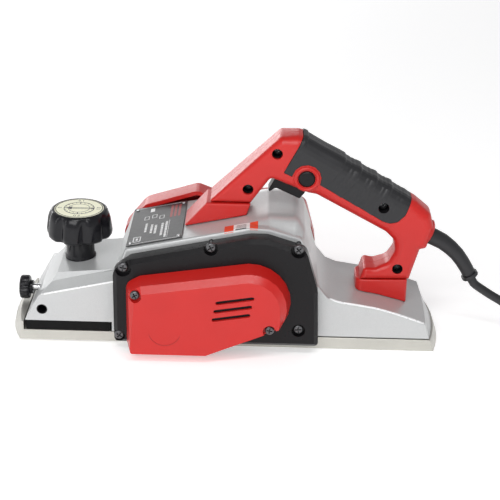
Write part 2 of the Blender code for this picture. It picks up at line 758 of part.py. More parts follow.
def make_handle(side, name):
    key = "red_plastic"
    half = handle_solid(name, side, key)
    if side < 0:
        ring = [(0.0, -9.0), (10.75, -9.0), (10.75, -16.8), (10.2, -17.6), (9.1, -18.0), (8.0, -17.6), (7.4, -16.8),
                (0.0, -16.8)]
        half = join(half, turned("rim", "Y", (LOCK_X, LOCK_Z), ring, key, 32))
    inner = fillet(HANDLE, 4.5)
    hollow = [[(u, -side * 5.0, v) for u, v in inner]]
    hollow.append([(u, side * (HANDLE_HALF - 4.2) * narrowed(u), v) for u, v in inner])
    half = cut(half, loft("hollow", hollow, key))
    for x, z in HANDLE_SCREWS:
        half = join(half, rod("boss", "Y", (x, z), 6.0, side * 0.8, side * 13.4, key, 16))
    for x, z in HANDLE_SCREWS:
        steps = [(0.0, 12.6), (2.3, 12.6), (2.3, -3.0), (0.0, -3.0)]
        if side < 0:
            steps = [(0.0, -25.0), (4.5, -25.0), (4.5, -4.5), (2.3, -4.5), (2.3, 3.0), (0.0, 3.0)]
        half = cut(half, turned("hole", "Y", (x, z), steps, key, 14))
    slot = prism_y(
        "slot",
        [(32.6, 130.0), (32.6, 143.5), (41.0, 149.0), (63.2, 139.5), (63.2, 120.0)],
        -side * 2.0,
        side * 7.4,
        key,
    )
    half = cut(half, slot)
    entry = rod("entry", "X", (0.0, 90.0), 7.6, 146.0, 175.0, key, 20)
    half = cut(half, turn(entry, "Y", 25.0, (158.0, 0.0, 90.0)))
    if side < 0:
        half = cut(half, rod("lock", "Y", (LOCK_X, LOCK_Z), 7.1, -25.0, -6.0, key, 24))
    recess = prism_y("recess", fillet(PAD), -side * 2.0, side * 25.0, key)
    return cut(half, cut(recess, handle_solid("core", side, key, 2.3)))


def make_pad(side, name):
    key = "grip_rubber"
    pad = handle_solid(name, side, key)
    region = prism_y("region", fillet(PAD, GAP), -side * 2.0, side * 25.0, key)
    pad = keep(pad, region)
    pad = cut(pad, handle_solid("core", side, key, 2.0))
    if side < 0:
        x, z = HANDLE_SCREWS[2]
        pad = cut(pad, rod("hole", "Y", (x, z), 4.6, -25.0, -5.0, key, 16))
    return pad


def make_front_foot():
    key = "red_plastic"
    corners = [(-39.8, 95.9, 0.8), (12.3, 107.0, 1.0), (15.6, 117.3, 1.0), (-20.8, 117.3, 1.0)]
    return rounded_slab_y("handle_front_foot", corners, -HANDLE_HALF, HANDLE_HALF, 2.0, key)


def make_rear_foot():
    outline = [(104.2, -14.8, 6), (123.0, -14.8, 0), (142.0, -13.6, 0), (147.4, -13.6, 2)]
    outline += [(x, -y, radius) for x, y, radius in reversed(outline)]
    foot = prism_z("handle_rear_foot", fillet(outline), 28.0, 51.3, "red_plastic")
    under = [(170.0, 0.0), (80.0, 0.0)] + [(x, z + GAP) for x, z in reversed(REAR_DECK[1:])]
    return cut(foot, prism_y("under", under, -30.0, 30.0, "red_plastic"))


TRIGGER = [
    (29.3, 126.2, 0.4),
    (30.8, 125.2, 0.4),
    (35.5, 128.6, 3),
    (55.2, 119.5, 1),
    (58.8, 124.0, 1),
    (62.0, 130.5, 1),
    (56.5, 135.0, 1.5),
    (38.5, 142.0, 2),
    (34.6, 136.5, 1),
]


def make_trigger():
    trigger = prism_y("trigger", fillet(TRIGGER), -7.0, 7.0, "black_plastic")
    return set_origin(trigger, (TRIGGER_PIVOT[0], 0.0, TRIGGER_PIVOT[1]))


def make_lock_button():
    profile = [(0.0, -17.9), (5.6, -17.9), (6.75, -16.9), (6.75, -13.2), (0.0, -13.2)]
    button = turned("lock_button", "Y", (LOCK_X, LOCK_Z), profile, "black_plastic", 24)
    return set_origin(button, (LOCK_X, 0.0, LOCK_Z))


def make_switch_parts():
    prism_y("switch_module", [(46.0, 151.5), (80.0, 132.5), (87.0, 145.0), (53.0, 164.0)], -8.5, 8.5, "black_plastic")
    prism_y("capacitor", [(95.0, 127.5), (113.5, 117.2), (118.5, 126.0), (100.0, 136.3)], -7.5, 7.5, "film_yellow")
    clamp = box("cord_clamp", (141.5, -10.0, 88.5), (150.0, 10.0, 100.0), "black_plastic")
    return turn(clamp, "Y", 25.0, (145.5, 0.0, 91.8))


# ---------------------------------------------------------------- cord


def smooth_route(knots, count):
    """Points evenly shared along a Catmull-Rom curve through the knots."""
    points = []
    padded = [knots[0]] + list(knots) + [knots[-1]]
    for i in range(1, len(padded) - 2):
        p0, p1, p2, p3 = (Vector(padded[i + k]) for k in (-1, 0, 1, 2))
        for k in range(16):
            t = k / 16.0
            points.append(
                0.5
                * (
                    2.0 * p1
                    + (p2 - p0) * t
                    + (2.0 * p0 - 5.0 * p1 + 4.0 * p2 - p3) * t * t
                    + (3.0 * p1 - p0 - 3.0 * p2 + p3) * t * t * t
                )
            )
    points.append(Vector(knots[-1]))
    lengths = [0.0]
    for a, b in zip(points, points[1:]):
        lengths.append(lengths[-1] + (b - a).length)
    shared = []
    j = 0
    for k in range(count):
        wanted = lengths[-1] * k / (count - 1)
        while j < len(points) - 2 and lengths[j + 1] < wanted:
            j += 1
        span = max(lengths[j + 1] - lengths[j], 1e-9)
        shared.append(points[j].lerp(points[j + 1], (wanted - lengths[j]) / span))
    return [tuple(point) for point in shared]


RELIEF_ROUTE = (
    (153.5, 0.0, 92.1),
    (163.5, 0.0, 87.6),
    (175.5, 0.0, 81.9),
    (186.5, 0.0, 72.9),
    (195.0, 0.0, 62.0),
    (201.6, 0.0, 50.2),
)

CORD_ROUTE = (
    (212.5, 0.0, 38.4),
    (221.0, -0.4, 33.0),
    (229.0, -1.4, 28.6),
    (240.0, -3.8, 21.6),
    (252.0, -7.4, 14.0),
    (264.0, -10.8, 7.8),
    (276.0, -13.4, 4.6),
    (289.0, -14.8, 4.0),
    (302.0, -15.0, 4.0),
    (315.4, -15.0, 4.0),
)


def make_cord():
    route = smooth_route(RELIEF_ROUTE, 9)
    relief = swept("strain_relief", route, [7.2, 7.2, 7.1, 6.9, 6.6, 6.3, 6.0, 5.8, 5.6], "cord_rubber", 16)
    collar_at = Vector(RELIEF_ROUTE[-1])
    along = (Vector(RELIEF_ROUTE[-1]) - Vector(RELIEF_ROUTE[-2])).normalized()
    collar = swept("collar", [tuple(collar_at - along * 3.0), tuple(collar_at)], [7.2, 7.2], "cord_rubber", 16)
    join(relief, collar)

    start = collar_at + along * GAP
    points = smooth_route([tuple(start), tuple(start + along * 7.0)] + list(CORD_ROUTE), 30)
    curve = bpy.data.curves.new("cord", "CURVE")
    curve.dimensions = "3D"
    curve.bevel_depth = CORD_RADIUS * MM
    curve.bevel_resolution = 2
    curve.use_fill_caps = True
    line = curve.splines.new("POLY")
    line.points.add(len(points) - 1)
    for i, point in enumerate(points):
        line.points[i].co = (*[value * MM for value in point], 1.0)
    cord = bpy.data.objects.new("cord", curve)
    curve.materials.append(material("cord_rubber"))
    bpy.context.scene.collection.objects.link(cord)


def make_coil():
    x, y = COIL_CENTRE
    section = fillet([(COIL_INNER, 0.1, 5), (COIL_OUTER, 0.1, 5), (COIL_OUTER, COIL_TOP, 5), (COIL_INNER, COIL_TOP, 5)])
    turned("cord_coil", "Z", COIL_CENTRE, section, "cord_rubber", 36, ring=True)

    tail = (x - 36.0, y + COIL_OUTER - 4.2, 6.0)
    profile = [(5.4, 0.0), (6.4, 9.0), (9.0, 16.0), (15.4, 23.0), (16.5, 27.0), (16.5, 36.0), (15.3, 37.5), (0.0, 37.5)]
    profile = [(radius, tail[0] - along) for radius, along in profile]
    plug = turned("plug", "X", (tail[1], tail[2]), profile, "cord_rubber", 24)
    for side in (-1.0, 1.0):
        pin = rod("pin", "X", (tail[1] + side * 9.5, tail[2]), 2.4, tail[0] - 35.0, tail[0] - 56.0, "cord_rubber", 12)
        join(plug, pin)
    return turn(plug, "Y", 18.0, tail)


# ---------------------------------------------------------------- depth control and clamp


def make_depth_control():
    key = "black_plastic"
    sections = (
        (STEM_SEAT + GAP, 12.7, 0.0),
        (62.6, 12.7, 0.0),
        (63.4, 11.8, 0.0),
        (78.0, 11.8, 0.0),
        (79.4, 22.0, 1.0),
        (80.6, 26.0, 2.9),
        (82.5, 27.2, 3.7),
        (85.5, KNOB_RADIUS, 3.7),
        (95.5, 26.2, 3.0),
        (99.5, 25.0, 1.9),
        (102.3, 23.4, 0.5),
        (103.3, 21.7, 0.0),
    )
    rings = []
    for z, radius, depth in sections:
        ring = []
        for i in range(64):
            angle = 2.0 * math.pi * i / 64
            flute = depth * max(0.0, math.cos(8.0 * (angle - math.radians(FLUTE_ANGLE)))) ** 2.0
            ring.append((KNOB_X + (radius - flute) * math.cos(angle), (radius - flute) * math.sin(angle), z))
        rings.append(ring)
    knob = loft("depth_knob", rings, key)
    knob = cut(knob, rod("dish", "Z", (KNOB_X, 0.0), DIAL_RADIUS + GAP, 102.2, 110.0, key, 32))
    knob = cut(knob, rod("bore", "Z", (KNOB_X, 0.0), 4.3, 50.0, 92.0, key, 20))
    set_origin(knob, (KNOB_X, 0.0, 0.0))
    dial = rod("dial_label", "Z", (KNOB_X, 0.0), DIAL_RADIUS, 102.5, 103.3, "dial_paper", 32)
    set_origin(dial, (KNOB_X, 0.0, 0.0))
    spindle = rod("depth_spindle", "Z", (KNOB_X, 0.0), 4.0, 15.0, 91.0, "steel", 20)
    set_origin(spindle, (KNOB_X, 0.0, 0.0))
    turns, per_turn = 4, 12
    route = []
    for k in range(turns * per_turn + 1):
        angle = 2.0 * math.pi * k / per_turn
        route.append((KNOB_X + 7.2 * math.cos(angle), 7.2 * math.sin(angle), 30.2 + 8.4 * k / (turns * per_turn)))
    rings = []
    for k, point in enumerate(route):
        angle = 2.0 * math.pi * k / per_turn
        outward = Vector((math.cos(angle), math.sin(angle), 0.0))
        ring = []
        for s in range(6):
            spin = 2.0 * math.pi * s / 6
            ring.append(tuple(Vector(point) + outward * 0.7 * math.cos(spin) + Vector((0, 0, 0.7 * math.sin(spin)))))
        rings.append(ring)
    loft("depth_spring", rings, "steel")


def make_clamp():
    knob = turned(
        "clamp_knob",
        "X",
        (0.0, ROD_Z),
        [(3.3, -178.9), (9.0, -178.9), (10.0, -177.9), (10.0, -171.6), (9.0, -170.6), (6.0, -170.4),
         (6.0, -168.0), (3.3, -168.0)],
        "black_plastic",
        24,
        ring=True,
    )
    set_origin(knob, (-160.0, 0.0, ROD_Z))
    screw = rod("clamp_screw", "X", (0.0, ROD_Z), 3.0, -178.0, -159.5, "steel", 16)
    set_origin(screw, (-160.0, 0.0, ROD_Z))


# ---------------------------------------------------------------- cutter block


def spin_about_drum(target, degrees):
    return turn(target, "Y", degrees, (DRUM_X, 0.0, DRUM_Z))


def make_drum():
    key = "steel"
    profile = [
        (6.0, -72.0), (6.0, -58.0), (6.0, -44.0), (10.0, -43.6), (10.0, -40.6), (DRUM_RADIUS, -40.4),
        (DRUM_RADIUS, 40.4), (10.0, 40.6), (10.0, 43.6), (6.0, 44.0), (6.0, 51.4),
    ]
    drum = turned("cutter_drum", "Y", (DRUM_X, DRUM_Z), profile, key, 32)
    for k, label in enumerate(("a", "b")):
        angle = 35.0 + 180.0 * k
        slot = box("slot", (DRUM_X - 4.6, -45.0, DRUM_Z + 11.0), (DRUM_X + 4.6, 45.0, DRUM_Z + 40.0), key)
        drum = cut(drum, spin_about_drum(slot, angle))
        knife = box(f"knife_{label}", (DRUM_X + 1.4, -41.0, DRUM_Z + 11.4), (DRUM_X + 4.2, 41.0, DRUM_Z + 25.6), "steel")
        set_origin(spin_about_drum(knife, angle), (DRUM_X, 0.0, DRUM_Z))
        bar = box(f"clamp_bar_{label}", (DRUM_X - 4.3, -40.0, DRUM_Z + 11.4), (DRUM_X + 1.1, 40.0, DRUM_Z + 22.4), key)
        set_origin(spin_about_drum(bar, angle), (DRUM_X, 0.0, DRUM_Z))
    set_origin(drum, (DRUM_X, 0.0, DRUM_Z))
    tube("drum_bearing_left", "Y", (DRUM_X, DRUM_Z), 14.1, 6.3, -52.4, -44.4, "bearing_steel", 28)
    tube("drum_bearing_right", "Y", (DRUM_X, DRUM_Z), 14.1, 6.3, 44.4, 51.6, "bearing_steel", 28)
    pulley = turned(
        "drum_pulley",
        "Y",
        (DRUM_X, DRUM_Z),
        [(6.3, -71.4), (DRUM_PULLEY_RADIUS, -71.4), (DRUM_PULLEY_RADIUS, -59.0), (6.3, -59.0)],
        "lamination",
        24,
        ring=True,
    )
    set_origin(pulley, (DRUM_X, 0.0, DRUM_Z))


def hull_outline(radius_a, radius_b, count):
    """The band round two circles, drum first."""
    a = Vector((DRUM_X, DRUM_Z))
    b = Vector((MOTOR_X, MOTOR_Z))
    line = b - a
    lean = math.asin((radius_a - radius_b) / line.length)
    heading = math.atan2(line.y, line.x)
    points = []
    for centre, radius, first, last in (
        (b, radius_b, heading - math.pi / 2 + lean, heading + math.pi / 2 - lean),
        (a, radius_a, heading + math.pi / 2 - lean, heading + 1.5 * math.pi + lean),
    ):
        for k in range(count):
            angle = first + (last - first) * k / (count - 1)
            points.append((centre.x + radius * math.cos(angle), centre.y + radius * math.sin(angle)))
    return points


def make_belt():
    outer = hull_outline(
        DRUM_PULLEY_RADIUS + GAP + BELT_THICKNESS, MOTOR_PULLEY_RADIUS + GAP + BELT_THICKNESS, 14
    )
    inner = hull_outline(DRUM_PULLEY_RADIUS + GAP, MOTOR_PULLEY_RADIUS + GAP, 14)
    belt = prism_y("drive_belt", outer, -70.0, -60.4, "belt_rubber")
    return cut(belt, prism_y("inside", inner, -80.0, -50.0, "belt_rubber"))


# ---------------------------------------------------------------- motor


def on_motor_axis(target):
    return set_origin(target, (MOTOR_X, 0.0, MOTOR_Z))


def make_motor():
    centre = (MOTOR_X, MOTOR_Z)
    profile = [
        (4.0, -72.0), (4.0, -22.0), (20.6, -20.0), (20.6, 20.0), (4.0, 22.0), (4.0, 60.6),
    ]
    on_motor_axis(turned("armature", "Y", centre, profile, "lamination", 28))
    on_motor_axis(tube("commutator", "Y", centre, 11.5, 4.3, 26.0, 39.0, "copper", 24))
    on_motor_axis(
        turned(
            "motor_fan",
            "Y",
            centre,
            [(4.3, -33.5), (33.0, -33.5), (33.0, -31.5), (9.0, -31.0), (8.0, -24.0), (4.3, -24.0)],
            "fan_plastic",
            28,
            ring=True,
        )
    )
    on_motor_axis(
        turned(
            "motor_pulley",
            "Y",
            centre,
            [(4.3, -71.4), (MOTOR_PULLEY_RADIUS, -71.4), (MOTOR_PULLEY_RADIUS, -59.0), (4.3, -59.0)],
            "lamination",
            24,
            ring=True,
        )
    )
    tube("motor_bearing_left", "Y", centre, 13.1, 4.3, -52.4, -44.4, "bearing_steel", 28)
    tube("motor_bearing_right", "Y", centre, 11.0, 4.3, 52.6, 60.4, "bearing_steel", 28)
    tube("stator", "Y", centre, STATOR_RADIUS, 21.4, -20.0, 20.0, "lamination", 32)
    for side, label in ((-1.0, "front"), (1.0, "rear")):
        x_in, x_out = MOTOR_X + side * 13.6, MOTOR_X + side * 33.0
        low, high = min(x_in, x_out), max(x_in, x_out)
        holder = box(f"brush_holder_{label}", (low, 28.0, MOTOR_Z - 5.5), (high, 37.0, MOTOR_Z + 5.5), "brass")
        cut(holder, box("way", (low - 5.0, 29.6, MOTOR_Z - 3.9), (high + 5.0, 35.4, MOTOR_Z + 3.9), "brass"))
        x_in, x_out = MOTOR_X + side * 11.9, MOTOR_X + side * 27.0
        box(
            f"brush_{label}",
            (min(x_in, x_out), 29.9, MOTOR_Z - 3.6),
            (max(x_in, x_out), 35.1, MOTOR_Z + 3.6),
            "carbon",
        )


# ---------------------------------------------------------------- plate and screws


def make_label_plate():
    plate = box("label_plate", (-85.0, -39.2, 0.35), (-38.6, 39.2, 1.1), "plate_grey")
    turn(plate, "Y", -math.degrees(math.atan(0.2141)), (-85.0, 0.0, 0.0))
    plate.data.transform(Matrix.Translation(Vector((0.6, 0.0, 86.0)) * MM))
    return plate


def make_screw(name, x, z, head_out, head_in, tip, head_radius, shank_radius):
    profile = [
        (0.0, head_out), (head_radius * 0.8, head_out), (head_radius, 0.5 * (head_out + head_in)),
        (head_radius, head_in), (shank_radius, head_in), (shank_radius, tip), (0.0, tip),
    ]
    return turned(name, "Y", (x, z), profile, "screw_black", 12)


def make_screws():
    for i, (x, z) in enumerate(COVER_SCREWS):
        make_screw(f"cover_screw_{i + 1}", x, z, -55.3, -52.7, -32.0, 4.2, 2.0)
    for i, (x, z) in enumerate(BELT_COVER_SCREWS):
        make_screw(f"belt_cover_screw_{i + 1}", x, z, -74.2, -71.5, -48.0, 3.8, 1.6)
    for i, (x, z) in enumerate(HANDLE_SCREWS):
        make_screw(f"handle_screw_{i + 1}", x, z, -7.6, -4.8, 11.0, 4.0, 1.9)


clear_scene()
make_casting()
make_rear_shoe()
make_front_shoe()
make_gasket()
make_drive_cover()
make_belt_cover()
make_right_cover()
make_handle(-1.0, "handle_left")
make_handle(1.0, "handle_right")
make_pad(-1.0, "grip_pad_left")
make_pad(1.0, "grip_pad_right")
make_front_foot()
make_rear_foot()
make_trigger()
make_lock_button()
make_switch_parts()
make_cord()
make_coil()
make_depth_control()
make_clamp()
make_drum()
make_belt()
make_motor()
make_label_plate()
make_screws()
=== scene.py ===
"""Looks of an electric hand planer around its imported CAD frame. Metres, +Z up, front of the tool at -X."""

import json
import math

import bmesh
import bpy
from mathutils import Matrix, Vector
from mathutils.bvhtree import BVHTree

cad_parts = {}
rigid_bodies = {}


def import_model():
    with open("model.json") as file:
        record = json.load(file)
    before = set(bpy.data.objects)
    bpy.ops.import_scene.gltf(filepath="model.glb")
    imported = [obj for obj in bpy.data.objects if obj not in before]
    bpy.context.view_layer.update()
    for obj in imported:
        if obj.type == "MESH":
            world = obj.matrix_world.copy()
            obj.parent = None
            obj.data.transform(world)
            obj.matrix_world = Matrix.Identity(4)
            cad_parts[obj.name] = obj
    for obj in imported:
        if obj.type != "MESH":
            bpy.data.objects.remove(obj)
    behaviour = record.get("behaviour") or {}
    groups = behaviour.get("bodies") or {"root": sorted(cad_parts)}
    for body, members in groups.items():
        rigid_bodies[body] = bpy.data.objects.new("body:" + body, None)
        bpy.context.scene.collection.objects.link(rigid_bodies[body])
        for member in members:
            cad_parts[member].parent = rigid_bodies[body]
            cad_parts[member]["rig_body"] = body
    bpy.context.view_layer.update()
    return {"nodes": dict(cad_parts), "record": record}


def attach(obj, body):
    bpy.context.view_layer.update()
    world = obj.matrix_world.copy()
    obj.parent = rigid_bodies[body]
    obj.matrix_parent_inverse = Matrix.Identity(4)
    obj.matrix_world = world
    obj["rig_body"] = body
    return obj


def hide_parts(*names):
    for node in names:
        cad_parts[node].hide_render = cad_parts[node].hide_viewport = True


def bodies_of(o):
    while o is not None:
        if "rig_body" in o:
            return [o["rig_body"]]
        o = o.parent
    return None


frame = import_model()

MM = 0.001

# Camera
CAMERA_TARGET = (15.5, 0.0, 69.2)
CAMERA_DISTANCE = 1167.8
CAMERA_AZIMUTH = 0.631
CAMERA_ELEVATION = 24.098
CAMERA_ROLL = 1.223
CAMERA_LENS = 100.24

# Places shared with the CAD model, in millimetres
KNOB_X = -127.0
DIAL_TOP = 103.3
GRIP_START = Vector((58.0, 0.0, 172.0))
GRIP_ALONG = Vector((0.865, 0.0, -0.501)).normalized()
CORD_DIAMETER = 7.5
RELIEF_END = Vector((201.6, 0.0, 50.2))
RELIEF_BEFORE = Vector((195.0, 0.0, 62.0))
CORD_ROUTE = (
    (212.5, 0.0, 38.4),
    (221.0, -0.4, 33.0),
    (229.0, -1.4, 28.6),
    (240.0, -3.8, 21.6),
    (252.0, -7.4, 14.0),
    (264.0, -10.8, 7.8),
    (276.0, -13.4, 4.6),
    (289.0, -14.8, 4.0),
    (302.0, -15.0, 4.0),
    (315.4, -15.0, 4.0),
)
COIL_CENTRE = Vector((347.0, 39.6, 0.0))
COIL_PITCH = 7.7
COIL_FIRST_RADIUS = 54.6

# Area lights: name, place in metres, the point they face, their two sizes and their power in watts
LIGHTS = (
    ("key", (-0.5, -1.7, 1.15), (0.0, 0.0, 0.05), (1.3, 0.9), 15.2),
    ("strip", (0.1, -0.9, 1.35), (0.0, 0.0, 0.06), (1.3, 0.1), 8.0),
    ("back", (-0.8, 2.0, 0.4), (0.0, 0.0, 0.1), (1.9, 0.66), 12.5),
    ("side", (-1.7, -0.7, 0.5), (-0.05, 0.0, 0.08), (0.22, 1.0), 2.6),
)
SKY_STRENGTH = 0.8
FLOOR_GLOW = 0.4
FLOOR_SIZE = 9.0
FLOOR_DROP = -0.0002


# ---------------------------------------------------------------- camera, light and floor


def make_camera():
    azimuth = math.radians(CAMERA_AZIMUTH)
    elevation = math.radians(CAMERA_ELEVATION)
    roll = math.radians(CAMERA_ROLL)
    back = Vector(
        (
            math.sin(azimuth) * math.cos(elevation),
            -math.cos(azimuth) * math.cos(elevation),
            math.sin(elevation),
        )
    )
    level = Vector((math.cos(azimuth), math.sin(azimuth), 0.0))
    upright = back.cross(level)
    right = level * math.cos(roll) + upright * math.sin(roll)
    up = upright * math.cos(roll) - level * math.sin(roll)
    data = bpy.data.cameras.new("camera")
    data.lens = CAMERA_LENS
    data.sensor_width = 36.0
    data.clip_start = 0.05
    data.clip_end = 20.0
    camera = bpy.data.objects.new("camera", data)
    place = Vector(CAMERA_TARGET) * MM + back * CAMERA_DISTANCE * MM
    camera.matrix_world = Matrix(
        (
            (right.x, up.x, back.x, place.x),
            (right.y, up.y, back.y, place.y),
            (right.z, up.z, back.z, place.z),
            (0.0, 0.0, 0.0, 1.0),
        )
    )
    bpy.context.scene.collection.objects.link(camera)
    bpy.context.scene.camera = camera


def make_light(name, place, target, size, power):
    data = bpy.data.lights.new(name, "AREA")
    data.shape = "RECTANGLE"
    data.size, data.size_y = size
    data.energy = power
    light = bpy.data.objects.new(name, data)
    light.location = place
    light.rotation_euler = (Vector(target) - Vector(place)).to_track_quat("-Z", "Y").to_euler()
    bpy.context.scene.collection.objects.link(light)


def make_studio():
    world = bpy.data.worlds.new("studio")
    world.use_nodes = True
    tree = world.node_tree
    background = tree.nodes["Background"]
    direction = tree.nodes.new("ShaderNodeTexCoord").outputs["Generated"]
    parts = tree.nodes.new("ShaderNodeSeparateXYZ")
    tree.links.new(direction, parts.inputs["Vector"])
    ramp = tree.nodes.new("ShaderNodeValToRGB")
    for stop, (place, level) in zip(ramp.color_ramp.elements, ((0.0, 0.85), (1.0, 0.34))):
        stop.position = place
        stop.color = (level, level, level * 1.01, 1.0)
    middle = ramp.color_ramp.elements.new(0.35)
    middle.color = (0.55, 0.55, 0.56, 1.0)
    tree.links.new(parts.outputs["Z"], ramp.inputs["Fac"])
    tree.links.new(ramp.outputs["Color"], background.inputs["Color"])
    background.inputs["Strength"].default_value = SKY_STRENGTH
    bpy.context.scene.world = world
    bpy.context.scene.view_settings.view_transform = "Standard"

    for name, place, target, size, power in LIGHTS:
        make_light(name, place, target, size, power)

    bpy.ops.mesh.primitive_plane_add(size=FLOOR_SIZE, location=(0.0, 0.0, FLOOR_DROP))
    floor = bpy.context.object
    floor.name = "floor"
    look = Look("floor_paper", (0.9, 0.9, 0.9), 0.6)
    look.set("Specular IOR Level", 0.2)
    grain = look.noise(60.0, 3.0)
    look.colour(look.mix(grain, (0.88, 0.88, 0.88), (0.91, 0.91, 0.91)))
    look.set("Emission Color", (1.0, 1.0, 1.0, 1.0))
    look.set("Emission Strength", FLOOR_GLOW)
    floor.data.materials.append(look.material)


# ---------------------------------------------------------------- materials


class Look:
    """A Principled material with procedural detail in the object's own coordinates."""

    def __init__(self, name, base, rough, metal=0.0):
        self.material = bpy.data.materials.new(name)
        self.material.use_nodes = True
        self.tree = self.material.node_tree
        self.shader = self.tree.nodes["Principled BSDF"]
        self.coordinates = self.tree.nodes.new("ShaderNodeTexCoord").outputs["Object"]
        self.bumps = None
        self.set("Base Color", (*base, 1.0))
        self.set("Roughness", rough)
        self.set("Metallic", metal)

    def set(self, socket, value):
        self.shader.inputs[socket].default_value = value

    def link(self, source, target):
        self.tree.links.new(source, target)

    def mapped(self, scale):
        node = self.tree.nodes.new("ShaderNodeMapping")
        node.inputs["Scale"].default_value = scale
        self.link(self.coordinates, node.inputs["Vector"])
        return node.outputs["Vector"]

    def noise(self, scale, detail=2.0, stretch=(1.0, 1.0, 1.0), rough=0.5):
        node = self.tree.nodes.new("ShaderNodeTexNoise")
        node.inputs["Scale"].default_value = scale
        node.inputs["Detail"].default_value = detail
        node.inputs["Roughness"].default_value = rough
        self.link(self.mapped(stretch), node.inputs["Vector"])
        return node.outputs["Fac"]

    def cells(self, scale):
        node = self.tree.nodes.new("ShaderNodeTexVoronoi")
        node.inputs["Scale"].default_value = scale
        self.link(self.mapped((1.0, 1.0, 1.0)), node.inputs["Vector"])
        return node.outputs["Distance"]

    def waves(self, scale, direction, distortion=0.0):
        node = self.tree.nodes.new("ShaderNodeTexWave")
        node.bands_direction = direction
        node.inputs["Scale"].default_value = scale
        node.inputs["Distortion"].default_value = distortion
        self.link(self.mapped((1.0, 1.0, 1.0)), node.inputs["Vector"])
        return node.outputs["Fac"]

    def spread(self, source, low, high, to_low=0.0, to_high=1.0):
        node = self.tree.nodes.new("ShaderNodeMapRange")
        node.inputs["From Min"].default_value = low
        node.inputs["From Max"].default_value = high
        node.inputs["To Min"].default_value = to_low
        node.inputs["To Max"].default_value = to_high
        self.link(source, node.inputs["Value"])
        return node.outputs["Result"]

    def mix(self, factor, first, second):
        node = self.tree.nodes.new("ShaderNodeMix")
        node.data_type = "RGBA"
        self.link(factor, node.inputs["Factor"])
        for value, target in ((first, node.inputs["A"]), (second, node.inputs["B"])):
            if isinstance(value, tuple):
                target.default_value = (*value[:3], 1.0)
            else:
                self.link(value, target)
        return next(output for output in node.outputs if output.type == "RGBA")

    def colour(self, source):
        self.link(source, self.shader.inputs["Base Color"])

    def roughness(self, source, low, high):
        self.link(self.spread(source, 0.25, 0.75, low, high), self.shader.inputs["Roughness"])

    def bump(self, height, distance, strength=1.0):
        node = self.tree.nodes.new("ShaderNodeBump")
        node.inputs["Strength"].default_value = strength
        node.inputs["Distance"].default_value = distance * MM
        self.link(height, node.inputs["Height"])
        if self.bumps is not None:
            self.link(self.bumps, node.inputs["Normal"])
        self.bumps = node.outputs["Normal"]
        self.link(self.bumps, self.shader.inputs["Normal"])


def moulded(name, base, rough, grain=0.02, spread=0.12, gloss=0.5, blotch=0.08):
    """Injection-moulded plastic with a spark-eroded grain and faint flow marks."""
    look = Look(name, base, rough)
    look.set("Specular IOR Level", gloss)
    wide = look.noise(35.0, 3.0)
    darker = tuple(value * (1.0 - blotch) for value in base)
    lighter = tuple(min(1.0, value * (1.0 + blotch)) for value in base)
    look.colour(look.mix(wide, darker, lighter))
    look.roughness(look.noise(420.0, 3.0), rough - spread / 2, rough + spread / 2)
    look.bump(look.noise(2600.0, 2.0), grain)
    look.bump(look.noise(260.0, 2.0), grain * 1.5)
    return look


def machined(name, base, rough, direction="X", lines=900.0, depth=0.004, metal=1.0):
    """Bare metal with fine cutter lines and slight tarnish."""
    look = Look(name, base, rough, metal)
    wide = look.noise(28.0, 4.0)
    look.colour(look.mix(wide, tuple(v * 0.86 for v in base), tuple(min(1.0, v * 1.06) for v in base)))
    look.roughness(look.noise(160.0, 4.0), rough * 0.8, rough * 1.35)
    look.bump(look.waves(lines, direction, 1.5), depth)
    look.bump(look.noise(900.0, 3.0), depth * 0.8)
    return look


